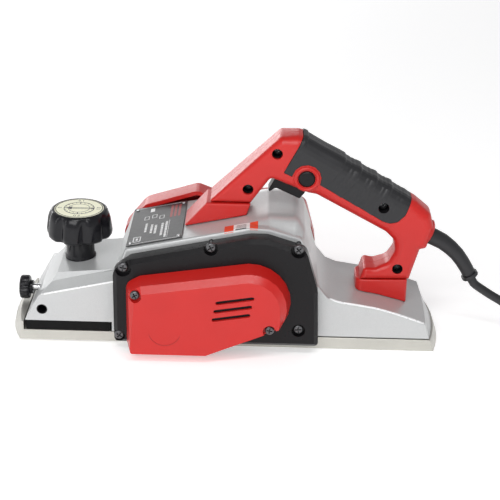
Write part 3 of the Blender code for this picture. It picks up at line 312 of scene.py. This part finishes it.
def make_looks():
    looks = {}

    silver = Look("silver_paint", (0.62, 0.63, 0.63), 0.42, 0.35)
    flakes = silver.noise(3200.0, 2.0)
    wide = silver.noise(22.0, 3.0)
    tone = silver.mix(silver.spread(flakes, 0.35, 0.65), (0.49, 0.50, 0.50), (0.60, 0.61, 0.61))
    silver.colour(silver.mix(silver.spread(wide, 0.3, 0.8, 0.0, 0.35), tone, (0.53, 0.54, 0.54)))
    silver.roughness(silver.noise(300.0, 3.0), 0.28, 0.4)
    silver.bump(silver.noise(1300.0, 3.0), 0.03)
    silver.bump(silver.noise(180.0, 2.0), 0.04)
    looks["cast_silver"] = silver

    # A lighter copy of the silver paint for the deck beads: a painted highlight along the decks' edges
    bead = Look("silver_paint_bead_painted_highlight", (0.86, 0.87, 0.87), 0.3, 0.3)
    bead.colour(bead.mix(bead.noise(900.0, 2.0), (0.82, 0.83, 0.83), (0.9, 0.91, 0.91)))
    bead.roughness(bead.noise(300.0, 3.0), 0.24, 0.36)
    bead.bump(bead.noise(1300.0, 3.0), 0.02)
    looks["bead_silver"] = bead

    sole = machined("sole_metal", (0.57, 0.56, 0.515), 0.36, "Z", 500.0, 0.003, 0.85)
    looks["sole_metal"] = sole
    looks["steel"] = machined("bright_steel", (0.62, 0.62, 0.63), 0.28, "Y", 700.0)
    looks["bearing_steel"] = machined("bearing_steel", (0.52, 0.52, 0.54), 0.18, "Y", 900.0)
    looks["lamination"] = machined("steel_sheet", (0.32, 0.32, 0.33), 0.45, "Y", 620.0, 0.02, 0.8)
    looks["copper"] = machined("copper", (0.72, 0.36, 0.2), 0.3, "Y", 400.0, 0.01)
    looks["brass"] = machined("brass", (0.75, 0.55, 0.26), 0.3, "X", 700.0)

    looks["red_plastic"] = moulded("red_plastic", (0.53, 0.012, 0.009), 0.34, 0.018)
    looks["black_plastic"] = moulded("black_plastic", (0.006, 0.0055, 0.0065), 0.32, 0.018, gloss=0.24)
    looks["knob_black"] = moulded("knob_black", (0.006, 0.006, 0.008), 0.2, 0.01, 0.08, gloss=0.34)
    looks["grip_rubber"] = moulded("grip_rubber", (0.014, 0.014, 0.016), 0.42, 0.035, 0.12, 0.5)
    looks["cord_rubber"] = moulded("cord_rubber", (0.014, 0.014, 0.016), 0.42, 0.02, 0.15, 0.5)
    looks["belt_rubber"] = moulded("belt_rubber", (0.012, 0.012, 0.012), 0.65, 0.05)
    looks["fan_plastic"] = moulded("fan_plastic", (0.03, 0.03, 0.035), 0.45, 0.02)
    looks["film_yellow"] = moulded("film_yellow", (0.7, 0.5, 0.08), 0.3, 0.01)
    looks["carbon"] = moulded("carbon", (0.03, 0.03, 0.03), 0.6, 0.02)

    foam = moulded("foam", (0.006, 0.006, 0.006), 0.85, 0.0, gloss=0.2)
    foam.bump(foam.cells(2200.0), 0.12)
    looks["foam"] = foam

    card = Look("dial_card", (0.93, 0.92, 0.69), 0.42)
    card.colour(card.mix(card.noise(90.0, 3.0), (0.91, 0.90, 0.66), (0.95, 0.94, 0.72)))
    card.bump(card.noise(1500.0, 2.0), 0.01)
    looks["dial_paper"] = card

    plate = moulded("plate_film", (0.035, 0.036, 0.038), 0.36, 0.008, gloss=0.35)
    looks["plate_grey"] = plate
    looks["ink_white"] = moulded("ink_white", (0.82, 0.82, 0.82), 0.4, 0.005)
    looks["ink_black"] = moulded("ink_black", (0.02, 0.02, 0.02), 0.4, 0.005)
    looks["ink_red"] = moulded("ink_red", (0.32, 0.03, 0.03), 0.4, 0.005)
    looks["ink_orange"] = moulded("ink_orange", (0.72, 0.07, 0.03), 0.35, 0.005)
    looks["film_white"] = moulded("film_white", (0.8, 0.79, 0.78), 0.35, 0.005)
    # A darker red for the belt cover's arc: painted shade standing for the dark line of its groove
    looks["red_painted_groove_shade"] = moulded("red_painted_groove_shade", (0.40, 0.012, 0.01), 0.4, 0.01)

    screw = machined("black_screw", (0.13, 0.13, 0.135), 0.3, "Z", 900.0, 0.003, 0.9)
    looks["screw_black"] = screw
    return {key: look.material for key, look in looks.items()}


# ---------------------------------------------------------------- pieces


def link_mesh(name, mesh, body, material):
    piece = bpy.data.objects.new(name, mesh)
    bpy.context.scene.collection.objects.link(piece)
    if not mesh.materials:
        mesh.materials.append(material)
    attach(piece, body)
    return piece


def body_of(node):
    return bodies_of(frame["nodes"][node])[0]


def welded(node):
    """The CAD node's faces as one connected bmesh with flat areas made whole."""
    work = bmesh.new()
    work.from_mesh(frame["nodes"][node].data)
    bmesh.ops.remove_doubles(work, verts=work.verts, dist=2e-6)
    bmesh.ops.dissolve_limit(
        work,
        angle_limit=math.radians(0.6),
        use_dissolve_boundaries=False,
        verts=work.verts,
        edges=work.edges,
    )
    return work


def soften(piece, width, segments=2, angle=32.0):
    if width <= 0.0:
        return piece
    bevel = piece.modifiers.new("edges", "BEVEL")
    bevel.width = width * MM
    bevel.segments = segments
    bevel.limit_method = "ANGLE"
    bevel.angle_limit = math.radians(angle)
    bevel.use_clamp_overlap = True
    return piece


def steady(piece):
    """Keep flat faces flat, so that only the rounded edges between them shade across."""
    normals = piece.modifiers.new("normals", "WEIGHTED_NORMAL")
    normals.mode = "FACE_AREA"
    normals.weight = 80
    normals.keep_sharp = True
    return piece


def to_mesh(work, name, sharp=32.0):
    mesh = bpy.data.meshes.new(name)
    work.to_mesh(mesh)
    work.free()
    mesh.shade_smooth()
    mesh.set_sharp_from_angle(angle=math.radians(sharp))
    return mesh


def skin(node, material, edge=0.35, segments=2, angle=32.0):
    """A copy of a CAD node with rounded edges that stands for it."""
    mesh = to_mesh(welded(node), node + "_skin", 75.0 if edge > 0.0 else 45.0)
    piece = link_mesh(node + "_skin", mesh, body_of(node), material)
    soften(piece, edge, segments, angle)
    steady(piece)
    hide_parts(node)
    return piece


EDGES = {
    "body_casting": 1.1,
    "rear_shoe": 0.5,
    "front_shoe": 0.7,
    "shoe_gasket": 0.8,
    "drive_cover": 0.55,
    "belt_cover": 0.3,
    "right_cover": 0.5,
    "handle_left": 0.35,
    "handle_right": 0.35,
    "handle_front_foot": 0.7,
    "handle_rear_foot": 0.9,
    "trigger": 0.8,
    "lock_button": 0.3,
    "strain_relief": 0.5,
    "depth_knob": 0.0,
    "dial_label": 0.15,
    "clamp_screw": 0.2,
    "label_plate": 0.25,
    "plug": 0.6,
}


# Nodes that a detailed piece of their own stands for
REBUILT = ("cord", "cord_coil", "clamp_knob", "grip_pad_left", "grip_pad_right")


def dress_nodes(looks):
    slots = {row["node"]: row["material_slot"] for row in frame["record"]["subparts"]}
    for node, slot in slots.items():
        if node in REBUILT or "_screw_" in node:
            continue
        key = "knob_black" if node == "depth_knob" else slot
        if node in EDGES:
            skin(node, looks[key], EDGES[node])
        else:
            part = frame["nodes"][node]
            for index in range(len(part.data.materials)):
                part.data.materials[index] = looks[key]


class Shape:
    """Collects simple solids, in millimetres, into one mesh."""

    def __init__(self):
        self.points = []
        self.faces = []

    def add(self, points, faces):
        first = len(self.points)
        self.points += [Vector(point) for point in points]
        self.faces += [[first + index for index in face] for face in faces]

    def rings(self, rings, closed=False):
        """Skin through rings of equal count; the ends are filled unless the rings join up."""
        count = len(rings[0])
        points = [point for ring in rings for point in ring]
        faces = []
        for k in range(len(rings) - (0 if closed else 1)):
            after = (k + 1) % len(rings)
            for i in range(count):
                j = (i + 1) % count
                faces.append([k * count + i, k * count + j, after * count + j, after * count + i])
        if not closed:
            faces.append(list(reversed(range(count))))
            faces.append([(len(rings) - 1) * count + i for i in range(count)])
        self.add(points, faces)

    def block(self, frame_of, low, high):
        """A box in a local frame: frame_of maps (a, b, lift) to a point."""
        corners = ((low[0], low[1]), (high[0], low[1]), (high[0], high[1]), (low[0], high[1]))
        self.rings([[frame_of(a, b, lift) for a, b in corners] for lift in (low[2], high[2])])

    def hoop(self, centre, axis, radius, thickness, around=40, across=10):
        """A torus about an axis through its centre."""
        axis = Vector(axis).normalized()
        side = axis.orthogonal().normalized()
        other = axis.cross(side)
        rings = []
        for k in range(around):
            spin = 2.0 * math.pi * k / around
            out = side * math.cos(spin) + other * math.sin(spin)
            ring = []
            for i in range(across):
                turn = 2.0 * math.pi * i / across
                reach = radius + thickness * math.cos(turn)
                ring.append(Vector(centre) + out * reach + axis * thickness * math.sin(turn))
            rings.append(ring)
        self.rings(rings, closed=True)

    def piece(self, name, body, slot, material, sharp=32.0):
        work = bmesh.new()
        corners = [work.verts.new(point * MM) for point in self.points]
        for face in self.faces:
            work.faces.new([corners[index] for index in face])
        bmesh.ops.recalc_face_normals(work, faces=work.faces)
        return link_mesh(name, to_mesh(work, name, sharp), body, material)


def circle_y(x, y, z, radius, count):
    """Points evenly round an axis along Y."""
    turns = (2.0 * math.pi * k / count for k in range(count))
    return [(x + radius * math.cos(turn), y, z + radius * math.sin(turn)) for turn in turns]


def screw_head(centre, out, radius, height, twist=0.0):
    """A pan head with a cross recess, whose seat is at the centre; out is -1 or 1 along Y."""
    shape = Shape()
    count = 48
    arm, half = 0.62 * radius, 0.13 * radius

    def recess(angle):
        """How far the cross recess reaches from the middle in this direction."""
        best = 0.0
        for quarter in range(4):
            turn = (angle - twist - quarter * 0.5 * math.pi + math.pi) % (2.0 * math.pi) - math.pi
            if abs(turn) < 0.5 * math.pi:
                reach = min(arm / max(math.cos(turn), 1e-6), half / max(abs(math.sin(turn)), 1e-6))
                best = max(best, reach)
        return max(best, half * 1.3)

    def ring(radius_at, lift):
        points = []
        for k in range(count):
            angle = 2.0 * math.pi * k / count
            reach = radius_at(angle)
            x = centre[0] + reach * math.cos(angle)
            z = centre[2] + reach * math.sin(angle)
            points.append((x, centre[1] + out * lift, z))
        return points

    profile = ((1.0, 0.0), (1.0, 0.45), (0.93, 0.72), (0.8, 0.9), (0.68, 0.97))
    rings = [ring(lambda _, share=share: radius * share, height * lift) for share, lift in profile]
    rings.append(ring(recess, height))
    rings.append(ring(lambda angle: 0.86 * recess(angle), height * 0.35))
    rings.append(ring(lambda angle: 0.2 * recess(angle), height * 0.1))
    shape.rings(rings)
    return shape


COVER_SCREWS = ((-15.1, 94.4), (-85.6, 75.2), (55.0, 94.6), (56.9, 23.7), (-89.6, 14.6))
BELT_COVER_SCREWS = ((-74.6, 59.6), (33.3, 31.6))
HANDLE_SCREWS = ((36.0, 161.0), (13.0, 130.0), (124.0, 116.0), (138.4, 61.6))
SHANK_RADIUS = 1.7
SHANK_LENGTH = 15.0
RIGHT_SCREWS = ((-87.0, 18.0), (-84.5, 66.0), (-31.0, 96.0), (54.0, 90.0), (64.0, 18.0))


def make_screws(looks):
    sets = (
        ("cover_screw_", COVER_SCREWS, -52.7, 4.2, 2.6),
        ("belt_cover_screw_", BELT_COVER_SCREWS, -71.5, 3.8, 2.6),
        ("handle_screw_", HANDLE_SCREWS, -4.8, 4.0, 2.7),
    )
    for stem, places, seat, radius, height in sets:
        for i, (x, z) in enumerate(places):
            node = f"{stem}{i + 1}"
            shape = screw_head((x, seat, z), -1.0, radius, height, 0.5 + 0.9 * i)
            shape.rings([circle_y(x, y, z, SHANK_RADIUS, 16) for y in (seat + SHANK_LENGTH, seat)])
            piece = shape.piece(node + "_skin", body_of(node), "screw_black", looks["screw_black"])
            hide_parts(node)
    shape = Shape()
    for i, (x, z) in enumerate(RIGHT_SCREWS):
        head = screw_head((x, 65.9, z), 1.0, 3.8, 2.2, 0.3 + 0.7 * i)
        shape.add(head.points, head.faces)
        shape.hoop((x, 66.0, z), (0.0, 1.0, 0.0), 4.9, 0.7, 28, 8)
    shape.piece("right_cover_screws", "planer", "screw_black", looks["screw_black"])


GRIP_STEPS = (2.2, 37.4, 53.0, 68.4, 82.7, 98.0)
GRIP_COLLAR = 0.8
STEP_HEIGHT = 0.9
STEP_RUN = 0.9
GROOVE_PLACES = (0.42, 0.66)
GROOVE_HALF = 0.75
GROOVE_DEPTH = 0.5


def ridge_lift(along):
    """Radial stand-out of the grip in millimetres, along its length from the elbow."""
    lift = 0.0
    if along < GRIP_STEPS[0]:
        return GRIP_COLLAR
    for first, after in zip(GRIP_STEPS, GRIP_STEPS[1:]):
        if not first <= along < after:
            continue
        past = along - first
        share = past / (after - first)
        plain = first == GRIP_STEPS[0]
        if not plain and past < STEP_RUN:
            lift = STEP_HEIGHT * (1.0 - ease(past / STEP_RUN))
        last = after == GRIP_STEPS[-1]
        lift += STEP_HEIGHT * ease((share - 0.35) / 0.65) * (0.3 if last else 1.0)
        for groove in GROOVE_PLACES:
            off = abs(past - groove * (after - first))
            if not plain and off < GROOVE_HALF:
                lift -= GROOVE_DEPTH * (1.0 - off / GROOVE_HALF)
    return lift


def slice_across(work, places, normal):
    """Cut the mesh by parallel planes through the given points."""
    for place in places:
        bmesh.ops.bisect_plane(
            work,
            geom=work.verts[:] + work.edges[:] + work.faces[:],
            dist=1e-7,
            plane_co=place * MM,
            plane_no=normal,
        )


def make_grip(node, looks):
    """The rubber pad, stepped like overlapping scales across its length."""
    work = welded(node)
    along = GRIP_ALONG
    upright = Vector((-along.z, 0.0, along.x))
    middle = 160.5
    slice_across(work, [GRIP_START + along * (0.9 * k - 4.0) for k in range(124)], along)
    slice_across(work, [GRIP_START + along * place for place in (2.2, 2.9)], along)
    slice_across(work, [upright * (middle - 26.0 + 2.0 * k) for k in range(22)], upright)
    for vert in work.verts:
        point = vert.co / MM
        place = (point - GRIP_START).dot(along)
        across = Vector((0.0, point.y, point.dot(upright) - middle))
        outward = across.length
        if outward < 1.0:
            continue
        top = max(0.0, min(1.0, (across.z + 12.0) / 20.0))
        low = max(0.0, 14.0 - across.z)
        lift = ridge_lift(place + 0.007 * low * low) * (0.55 + 0.45 * top)
        unit = across / outward
        vert.co += (Vector((0.0, 1.0, 0.0)) * unit.y + upright * unit.z) * lift * MM
    name = node + "_skin"
    piece = link_mesh(name, to_mesh(work, name, 24.0), body_of(node), looks["grip_rubber"])
    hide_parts(node)


def dial_frame(a, b, lift):
    """Dial coordinates: a towards the front of the tool, b towards its near side."""
    return Vector((KNOB_X - a, -b, DIAL_TOP + lift))


def text_faces(text, size):
    """Outlines of a short text as a flat mesh, centred, in its own plane."""
    curve = bpy.data.curves.new("text", "FONT")
    curve.body = text
    curve.size = size
    curve.align_x = "CENTER"
    curve.align_y = "CENTER"
    holder = bpy.data.objects.new("text", curve)
    bpy.context.scene.collection.objects.link(holder)
    bpy.context.view_layer.update()
    mesh = bpy.data.meshes.new_from_object(holder.evaluated_get(bpy.context.evaluated_depsgraph_get()))
    points = [vert.co.copy() for vert in mesh.vertices]
    faces = [list(polygon.vertices) for polygon in mesh.polygons]
    bpy.data.objects.remove(holder)
    bpy.data.curves.remove(curve)
    bpy.data.meshes.remove(mesh)
    return points, faces


DIAL_RINGS = ((19.4, 0.34), (12.4, 0.3), (8.8, 0.2))
DIAL_LABEL_RADIUS = 16.0
DIAL_LABELS = ("0", "0.5", "1.0", "1.5")
INK_LOW, INK_HIGH = -0.1, 0.08


def make_dial(looks):
    ink = Shape()
    for radius, wide in DIAL_RINGS:
        section = ((-wide, INK_LOW), (wide, INK_LOW), (wide, INK_HIGH), (-wide, INK_HIGH))
        ring = []
        for k in range(72):
            spin = 2.0 * math.pi * k / 72
            c, s = math.cos(spin), math.sin(spin)
            ring.append([dial_frame((radius + x) * c, (radius + x) * s, z) for x, z in section])
        ink.rings(ring, closed=True)
    for k in range(20):
        spin = 2.0 * math.pi * k / 20
        c, s = math.cos(spin), math.sin(spin)
        inner = 9.6 if k % 5 == 0 else 10.8
        half = 0.42 if k % 5 == 0 else 0.3

        def tick(a, b, lift, c=c, s=s):
            return dial_frame(a * c - b * s, a * s + b * c, lift)

        ink.block(tick, (inner, -half, INK_LOW), (12.4, half, INK_HIGH))
    for k, label in enumerate(DIAL_LABELS):
        spin = 0.5 * math.pi * k
        points, faces = text_faces(label, 4.6)
        c, s = math.cos(spin), math.sin(spin)
        placed = []
        for p in points:
            out = DIAL_LABEL_RADIUS + p.y
            placed.append(dial_frame(out * c - p.x * s, out * s + p.x * c, 0.06))
        ink.add(placed, faces)
    for side in (-1.0, 1.0):
        ink.block(dial_frame, (-12.0, side - 0.3, INK_LOW), (6.5, side + 0.3, INK_HIGH))
    arrow = [(11.2, 0.0), (6.0, 3.0), (6.0, -3.0)]
    ink.rings([[dial_frame(a, b, z) for a, b in arrow] for z in (-0.1, 0.1)])
    ink.piece("dial_print", "depth_control", "dial_paper", looks["ink_black"])


PLATE_ANGLE = math.atan(0.2141)


def plate_frame(a, b, lift):
    """Label plate coordinates: a from its front edge, b across the tool, lift from its face."""
    up = 1.1 + lift
    return Vector(
        (
            -84.4 + a * math.cos(PLATE_ANGLE) - up * math.sin(PLATE_ANGLE),
            b,
            86.0 + a * math.sin(PLATE_ANGLE) + up * math.cos(PLATE_ANGLE),
        )
    )


# Rows of dashes on the plate: place along it, first and last place across it
PLATE_ROWS = (
    (30.5, -33.0, 0.0),
    (27.0, -28.0, -2.0),
    (21.5, -22.0, -4.0),
    (18.0, -20.0, -2.0),
    (13.0, -16.0, 2.0),
)
PRINT_LOW, PRINT_HIGH = -0.1, 0.06
RIVET_RADIUS = 1.5
RIVET_PROFILE = ((1.0, -0.3), (1.0, 0.25), (0.8, 0.65), (0.45, 0.85))


def plate_block(shape, a, b, to_a, to_b):
    shape.block(plate_frame, (a, b, PRINT_LOW), (to_a, to_b, PRINT_HIGH))


def plate_outline(shape, a, b, to_a, to_b, line):
    """An empty rectangle drawn with four thin blocks."""
    plate_block(shape, a, b, to_a, b + line)
    plate_block(shape, a, to_b - line, to_a, to_b)
    plate_block(shape, a, b, a + line, to_b)
    plate_block(shape, to_a - line, b, to_a, to_b)


def make_plate_details(looks):
    light = Shape()
    plate_block(light, 2.4, -37.4, 44.0, -37.0)
    plate_block(light, 2.4, 37.0, 44.0, 37.4)
    for a, first, last in PLATE_ROWS:
        b = first
        step = 0
        while b < last:
            size = 1.0 + 1.3 * ((step * 7 + int(a)) % 5) / 4.0
            plate_block(light, a, b, a + 1.9, min(b + size, last))
            b += size + 0.7
            step += 1
    plate_block(light, 33.4, -34.0, 33.7, 2.0)
    for a, b in ((24.0, 8.0), (17.5, 12.0), (11.0, 10.0)):
        plate_outline(light, a, b, a + 4.2, b + 7.0, 0.5)
    plate_block(light, 15.0, 26.0, 18.6, 33.5)
    plate_outline(light, 5.0, -34.0, 11.5, -24.0, 0.8)
    plate_block(light, 7.4, -31.0, 9.1, -27.0)
    light.piece("plate_print", "planer", "plate_grey", looks["ink_white"])
    red = Shape()
    for a in (33.0, 36.4, 39.8):
        plate_block(red, a, 8.0, a + 2.0, 33.0)
    red.piece("plate_stripes", "planer", "plate_grey", looks["ink_red"])
    rivets = Shape()
    turns = [k * math.pi / 8 for k in range(16)]
    for a in (3.2, 43.4):
        for b in (-35.0, 35.0):
            rings = []
            for share, lift in RIVET_PROFILE:
                out = RIVET_RADIUS * share
                rings.append([plate_frame(a + out * math.cos(t), b + out * math.sin(t), lift) for t in turns])
            rivets.rings(rings)
    rivets.piece("plate_rivets", "planer", "steel", looks["steel"])


def drape(name, target, low, high, lift, looks, key, count=(26, 8)):
    """A thin film laid on the tool's upper side over a patch of its plan."""
    tree = BVHTree.FromPolygons(
        [vert.co.copy() for vert in target.data.vertices], [list(p.vertices) for p in target.data.polygons]
    )
    shape = Shape()
    rings = []
    for i in range(count[0] + 1):
        ring = []
        for j in range(count[1] + 1):
            x = low[0] + (high[0] - low[0]) * i / count[0]
            y = low[1] + (high[1] - low[1]) * j / count[1]
            hit, normal, _, _ = tree.ray_cast(Vector((x, y, 200.0)) * MM, Vector((0.0, 0.0, -1.0)))
            ring.append(hit / MM + normal * lift)
        rings.append(ring)
    wide = count[1] + 1
    points = [point for ring in rings for point in ring]
    faces = []
    for i in range(count[0]):
        for j in range(count[1]):
            faces.append([i * wide + j, (i + 1) * wide + j, (i + 1) * wide + j + 1, i * wide + j + 1])
    shape.add(points, faces)
    return shape.piece(name, "planer", "cast_silver", looks[key], 60.0)


def make_sticker(looks):
    """A blank rating film on the shoulder of the casting."""
    casting = bpy.data.objects["body_casting_skin"]
    drape("rating_film", casting, (-5.0, -41.7), (22.0, -31.0), 0.12, looks, "film_white")
    drape("rating_film_left", casting, (-5.0, -41.7), (2.4, -31.0), 0.2, looks, "ink_orange", (8, 8))
    drape("rating_film_right", casting, (15.4, -41.7), (22.0, -31.0), 0.2, looks, "ink_orange", (8, 8))
    for k, y in enumerate((-40.8, -38.6, -36.4, -34.2)):
        first = 4.0 + 0.8 * (k % 2)
        name = f"rating_film_line_{k + 1}"
        drape(name, casting, (first, y), (12.6, y + 0.8), 0.2, looks, "ink_black", (8, 1))


def make_arc(looks):
    """The shallow moulded arc under the slots' left end of the belt cover, in a darker red as painted shade
    for its groove.
    """
    shape = Shape()
    rings = []
    for k in range(37):
        spin = math.radians(192.0 + 156.0 * k / 36)
        centre = Vector((-50.9 + 13.0 * math.cos(spin), -75.95, 30.0 + 13.0 * math.sin(spin)))
        out = Vector((math.cos(spin), 0.0, math.sin(spin)))
        size = 0.42 * min(1.0, 0.25 + 6.0 * min(k, 36 - k) / 36)
        ring = []
        for t in range(8):
            turn = t * math.pi / 4
            ring.append(centre + out * size * math.cos(turn) + Vector((0.0, size * math.sin(turn), 0.0)))
        rings.append(ring)
    shape.rings(rings)
    # Painted shade: the arc takes the darker red for its groove's dark line
    shape.piece("rotation_arc", "planer", "red_plastic", looks["red_painted_groove_shade"])


# Each deck's near edge: its place across the tool, then its points as (x, z)
DECK_EDGES = (
    (-41.2, ((-155.0, 42.9), (-147.0, 44.6), (-142.0, 45.8), (-94.6, 56.3), (-90.6, 57.2))),
    (-41.0, ((82.0, 46.1), (90.0, 42.9), (106.0, 40.4), (122.9, 37.4), (142.0, 31.8), (160.6, 25.3))),
)
BEAD_RADIUS = 0.95


def make_deck_beads(looks):
    """The raised beads cast along the front and rear decks' near edges, coloured lighter than the casting's
    silver as a painted highlight.
    """
    shape = Shape()
    side = Vector((0.0, 1.0, 0.0))
    turns = [t * math.pi / 6 for t in range(12)]
    for y, knots in DECK_EDGES:
        route = smooth_route([(x, y, z) for x, z in knots], 44)
        last = len(route) - 1
        rings = []
        for i, point in enumerate(route):
            along = (route[min(i + 1, last)] - route[max(i - 1, 0)]).normalized()
            up = along.cross(side).normalized()
            size = BEAD_RADIUS * min(1.0, 0.35 + 0.25 * min(i, last - i)) ** 0.5
            rings.append([point + (side * math.cos(turn) + up * math.sin(turn)) * size for turn in turns])
        shape.rings(rings)
    # Painted highlight: the beads take the lighter copy of the silver paint
    shape.piece("deck_beads", "planer", "cast_silver", looks["bead_silver"])


CLAMP_Z = 29.8
ROD_X = -154.5
CLAMP_RIBS = 16
RIB_DEPTH = 0.75
# The clamp knob's outline: radius, place along X and the share of the ribs' depth
CLAMP_PROFILE = (
    (3.4, -178.9, 0.0),
    (8.4, -178.9, 0.0),
    (9.5, -178.5, 0.4),
    (10.0, -177.4, 1.0),
    (10.0, -172.2, 1.0),
    (9.4, -171.0, 0.6),
    (8.0, -170.6, 0.0),
    (6.3, -170.4, 0.0),
    (6.0, -170.0, 0.0),
    (5.8, -168.0, 0.0),
    (3.4, -168.0, 0.0),
)


def make_clamp_knob(looks):
    shape = Shape()
    rings = []
    for radius, x, depth in CLAMP_PROFILE:
        ring = []
        for k in range(96):
            spin = 2.0 * math.pi * k / 96
            reach = radius - RIB_DEPTH * depth * (0.5 - 0.5 * math.cos(CLAMP_RIBS * spin)) ** 1.5
            ring.append((x, reach * math.cos(spin), CLAMP_Z + reach * math.sin(spin)))
        rings.append(ring)
    shape.rings(rings, closed=True)
    piece = shape.piece("clamp_knob_skin", "fence_clamp", "black_plastic", looks["knob_black"])
    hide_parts("clamp_knob")


def make_handle_details(looks):
    shape = Shape()
    axis = Vector((0.909, 0.0, -0.417))
    shape.hoop(Vector((163.6, 0.0, 88.8)), axis, 8.6, 1.5, 40, 10)
    shape.hoop(Vector((162.4, 0.0, 89.3)), axis, 10.2, 1.5, 40, 10)
    shape.piece("cord_collar", "planer", "red_plastic", looks["red_plastic"])


# Closed outlines round their own axes: radius and place along Y
# Dark sleeves in the handle screws' wells: painted shade for the deep holes
WELL_SHADE_SLEEVE_OUTLINE = ((4.38, -5.0), (4.38, -13.6), (4.1, -13.8), (4.1, -5.0))
# A dark sleeve through the guide rod's hole: painted shade for its inside
HOLE_SHADE_SLEEVE_OUTLINE = (
    (4.42, -41.7),
    (4.42, 41.7),
    (3.7, 41.7),
    (3.55, 41.0),
    (3.5, 20.0),
    (3.5, -20.0),
    (3.55, -41.0),
    (3.7, -41.7),
)
# The dust screen's corners in X and Z, with the way that each moves as the outline grows
SCREEN_CORNERS = (
    (-17.0, 36.0, -1.0, -1.0),
    (19.0, 40.0, 1.0, -1.0),
    (23.0, 64.5, 1.0, 1.0),
    (-13.0, 60.0, -1.0, 1.0),
)


def make_inner_details(looks):
    """The dark sleeve through the guide rod's hole, the screen behind the belt cover's slots and the dark
    sleeves in the screws' wells; both kinds of sleeve are painted shade.
    """
    black = looks["black_plastic"]
    # Painted shade: dark sleeves inside the handle screws' wells
    well_shades = Shape()
    for x, z in HANDLE_SCREWS:
        well_shades.rings([circle_y(x, y, z, radius, 28) for radius, y in WELL_SHADE_SLEEVE_OUTLINE], closed=True)
    well_shades.piece("screw_well_shade_sleeves", "planer", "black_plastic", black)
    # Painted shade: a dark sleeve lining the guide rod's hole
    hole_shade = Shape()
    hole_shade.rings([circle_y(ROD_X, y, CLAMP_Z, radius, 28) for radius, y in HOLE_SHADE_SLEEVE_OUTLINE], closed=True)
    hole_shade.piece("guide_hole_shade_sleeve", "planer", "black_plastic", black)
    screen = Shape()
    rings = []
    for y, grow in ((-73.4, -0.4), (-73.1, 0.0), (-72.5, 0.0)):
        rings.append([(x + out * grow, y, z + up * grow) for x, z, out, up in SCREEN_CORNERS])
    screen.rings(rings)
    screen.piece("slot_screen", "planer", "black_plastic", black)


def smooth_route(knots, count):
    """Points evenly shared along a Catmull-Rom curve through the knots."""
    points = []
    padded = [knots[0]] + list(knots) + [knots[-1]]
    for i in range(1, len(padded) - 2):
        p0, p1, p2, p3 = (Vector(padded[i + k]) for k in (-1, 0, 1, 2))
        for k in range(16):
            t = k / 16.0
            points.append(
                0.5
                * (
                    2.0 * p1
                    + (p2 - p0) * t
                    + (2.0 * p0 - 5.0 * p1 + 4.0 * p2 - p3) * t * t
                    + (3.0 * p1 - p0 - 3.0 * p2 + p3) * t * t * t
                )
            )
    points.append(Vector(knots[-1]))
    lengths = [0.0]
    for a, b in zip(points, points[1:]):
        lengths.append(lengths[-1] + (b - a).length)
    shared = []
    j = 0
    for k in range(count):
        wanted = lengths[-1] * k / (count - 1)
        while j < len(points) - 2 and lengths[j + 1] < wanted:
            j += 1
        span = max(lengths[j + 1] - lengths[j], 1e-9)
        shared.append(points[j].lerp(points[j + 1], (wanted - lengths[j]) / span))
    return shared


def ease(share):
    share = max(0.0, min(1.0, share))
    return share * share * (3.0 - 2.0 * share)


def coil_points():
    """The turns of the stored length: inwards on the floor, then outwards on top, and off to the plug."""
    low, high = 4.0, 4.0 + COIL_PITCH
    radii = [COIL_FIRST_RADIUS - COIL_PITCH * k for k in range(4)]
    turns = [(radii[k], radii[k + 1], low, low) for k in range(3)]
    turns.append((radii[3], radii[2], low, high))
    turns.append((radii[2], radii[1], high, high))
    turns.append((radii[1], radii[0], high, high))
    turns.append((radii[0], radii[0], high, high))
    steps = 36
    points = []
    for number, (start, end, z_start, z_end) in enumerate(turns):
        count = steps if number < len(turns) - 1 else steps // 2
        for k in range(count):
            turn = k / steps
            radius = start + (end - start) * ease((turn - 0.5) / 0.5)
            z = z_start + (z_end - z_start) * ease(turn / 0.5)
            angle = 2.0 * math.pi * turn - 0.5 * math.pi
            points.append(COIL_CENTRE + Vector((radius * math.cos(angle), radius * math.sin(angle), z)))
    return points


def make_cord(looks):
    along = (RELIEF_END - RELIEF_BEFORE).normalized()
    start = RELIEF_END + along * 0.3
    points = smooth_route([start, start + along * 7.0] + [Vector(p) for p in CORD_ROUTE], 40)
    points += [Vector((323.0, -15.0, 4.0)), Vector((331.0, -15.0, 4.0)), Vector((339.0, -15.0, 4.0))]
    points += coil_points()
    top = COIL_CENTRE + Vector((0.0, COIL_FIRST_RADIUS, 4.0 + COIL_PITCH))
    tail = Vector((top.x - 36.0, top.y, 6.0))
    for k in range(8):
        share = k / 7.0
        point = top.lerp(tail, share)
        point.z = top.z + (tail.z - top.z) * ease(share)
        points.append(point)
    curve = bpy.data.curves.new("mains_cord", "CURVE")
    curve.dimensions = "3D"
    curve.bevel_depth = 0.5 * CORD_DIAMETER * MM
    curve.bevel_resolution = 4
    curve.use_fill_caps = True
    line = curve.splines.new("POLY")
    line.points.add(len(points) - 1)
    for i, point in enumerate(points):
        line.points[i].co = (*(point * MM), 1.0)
    line.use_smooth = True
    curve.materials.append(looks["cord_rubber"])
    cord = bpy.data.objects.new("mains_cord", curve)
    bpy.context.scene.collection.objects.link(cord)
    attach(cord, "planer")
    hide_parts("cord", "cord_coil")


make_camera()
make_studio()
LOOKS = make_looks()
dress_nodes(LOOKS)
make_grip("grip_pad_left", LOOKS)
make_grip("grip_pad_right", LOOKS)
make_screws(LOOKS)
make_dial(LOOKS)
make_plate_details(LOOKS)
make_sticker(LOOKS)
make_arc(LOOKS)
make_deck_beads(LOOKS)
make_clamp_knob(LOOKS)
make_handle_details(LOOKS)
make_inner_details(LOOKS)
make_cord(LOOKS)
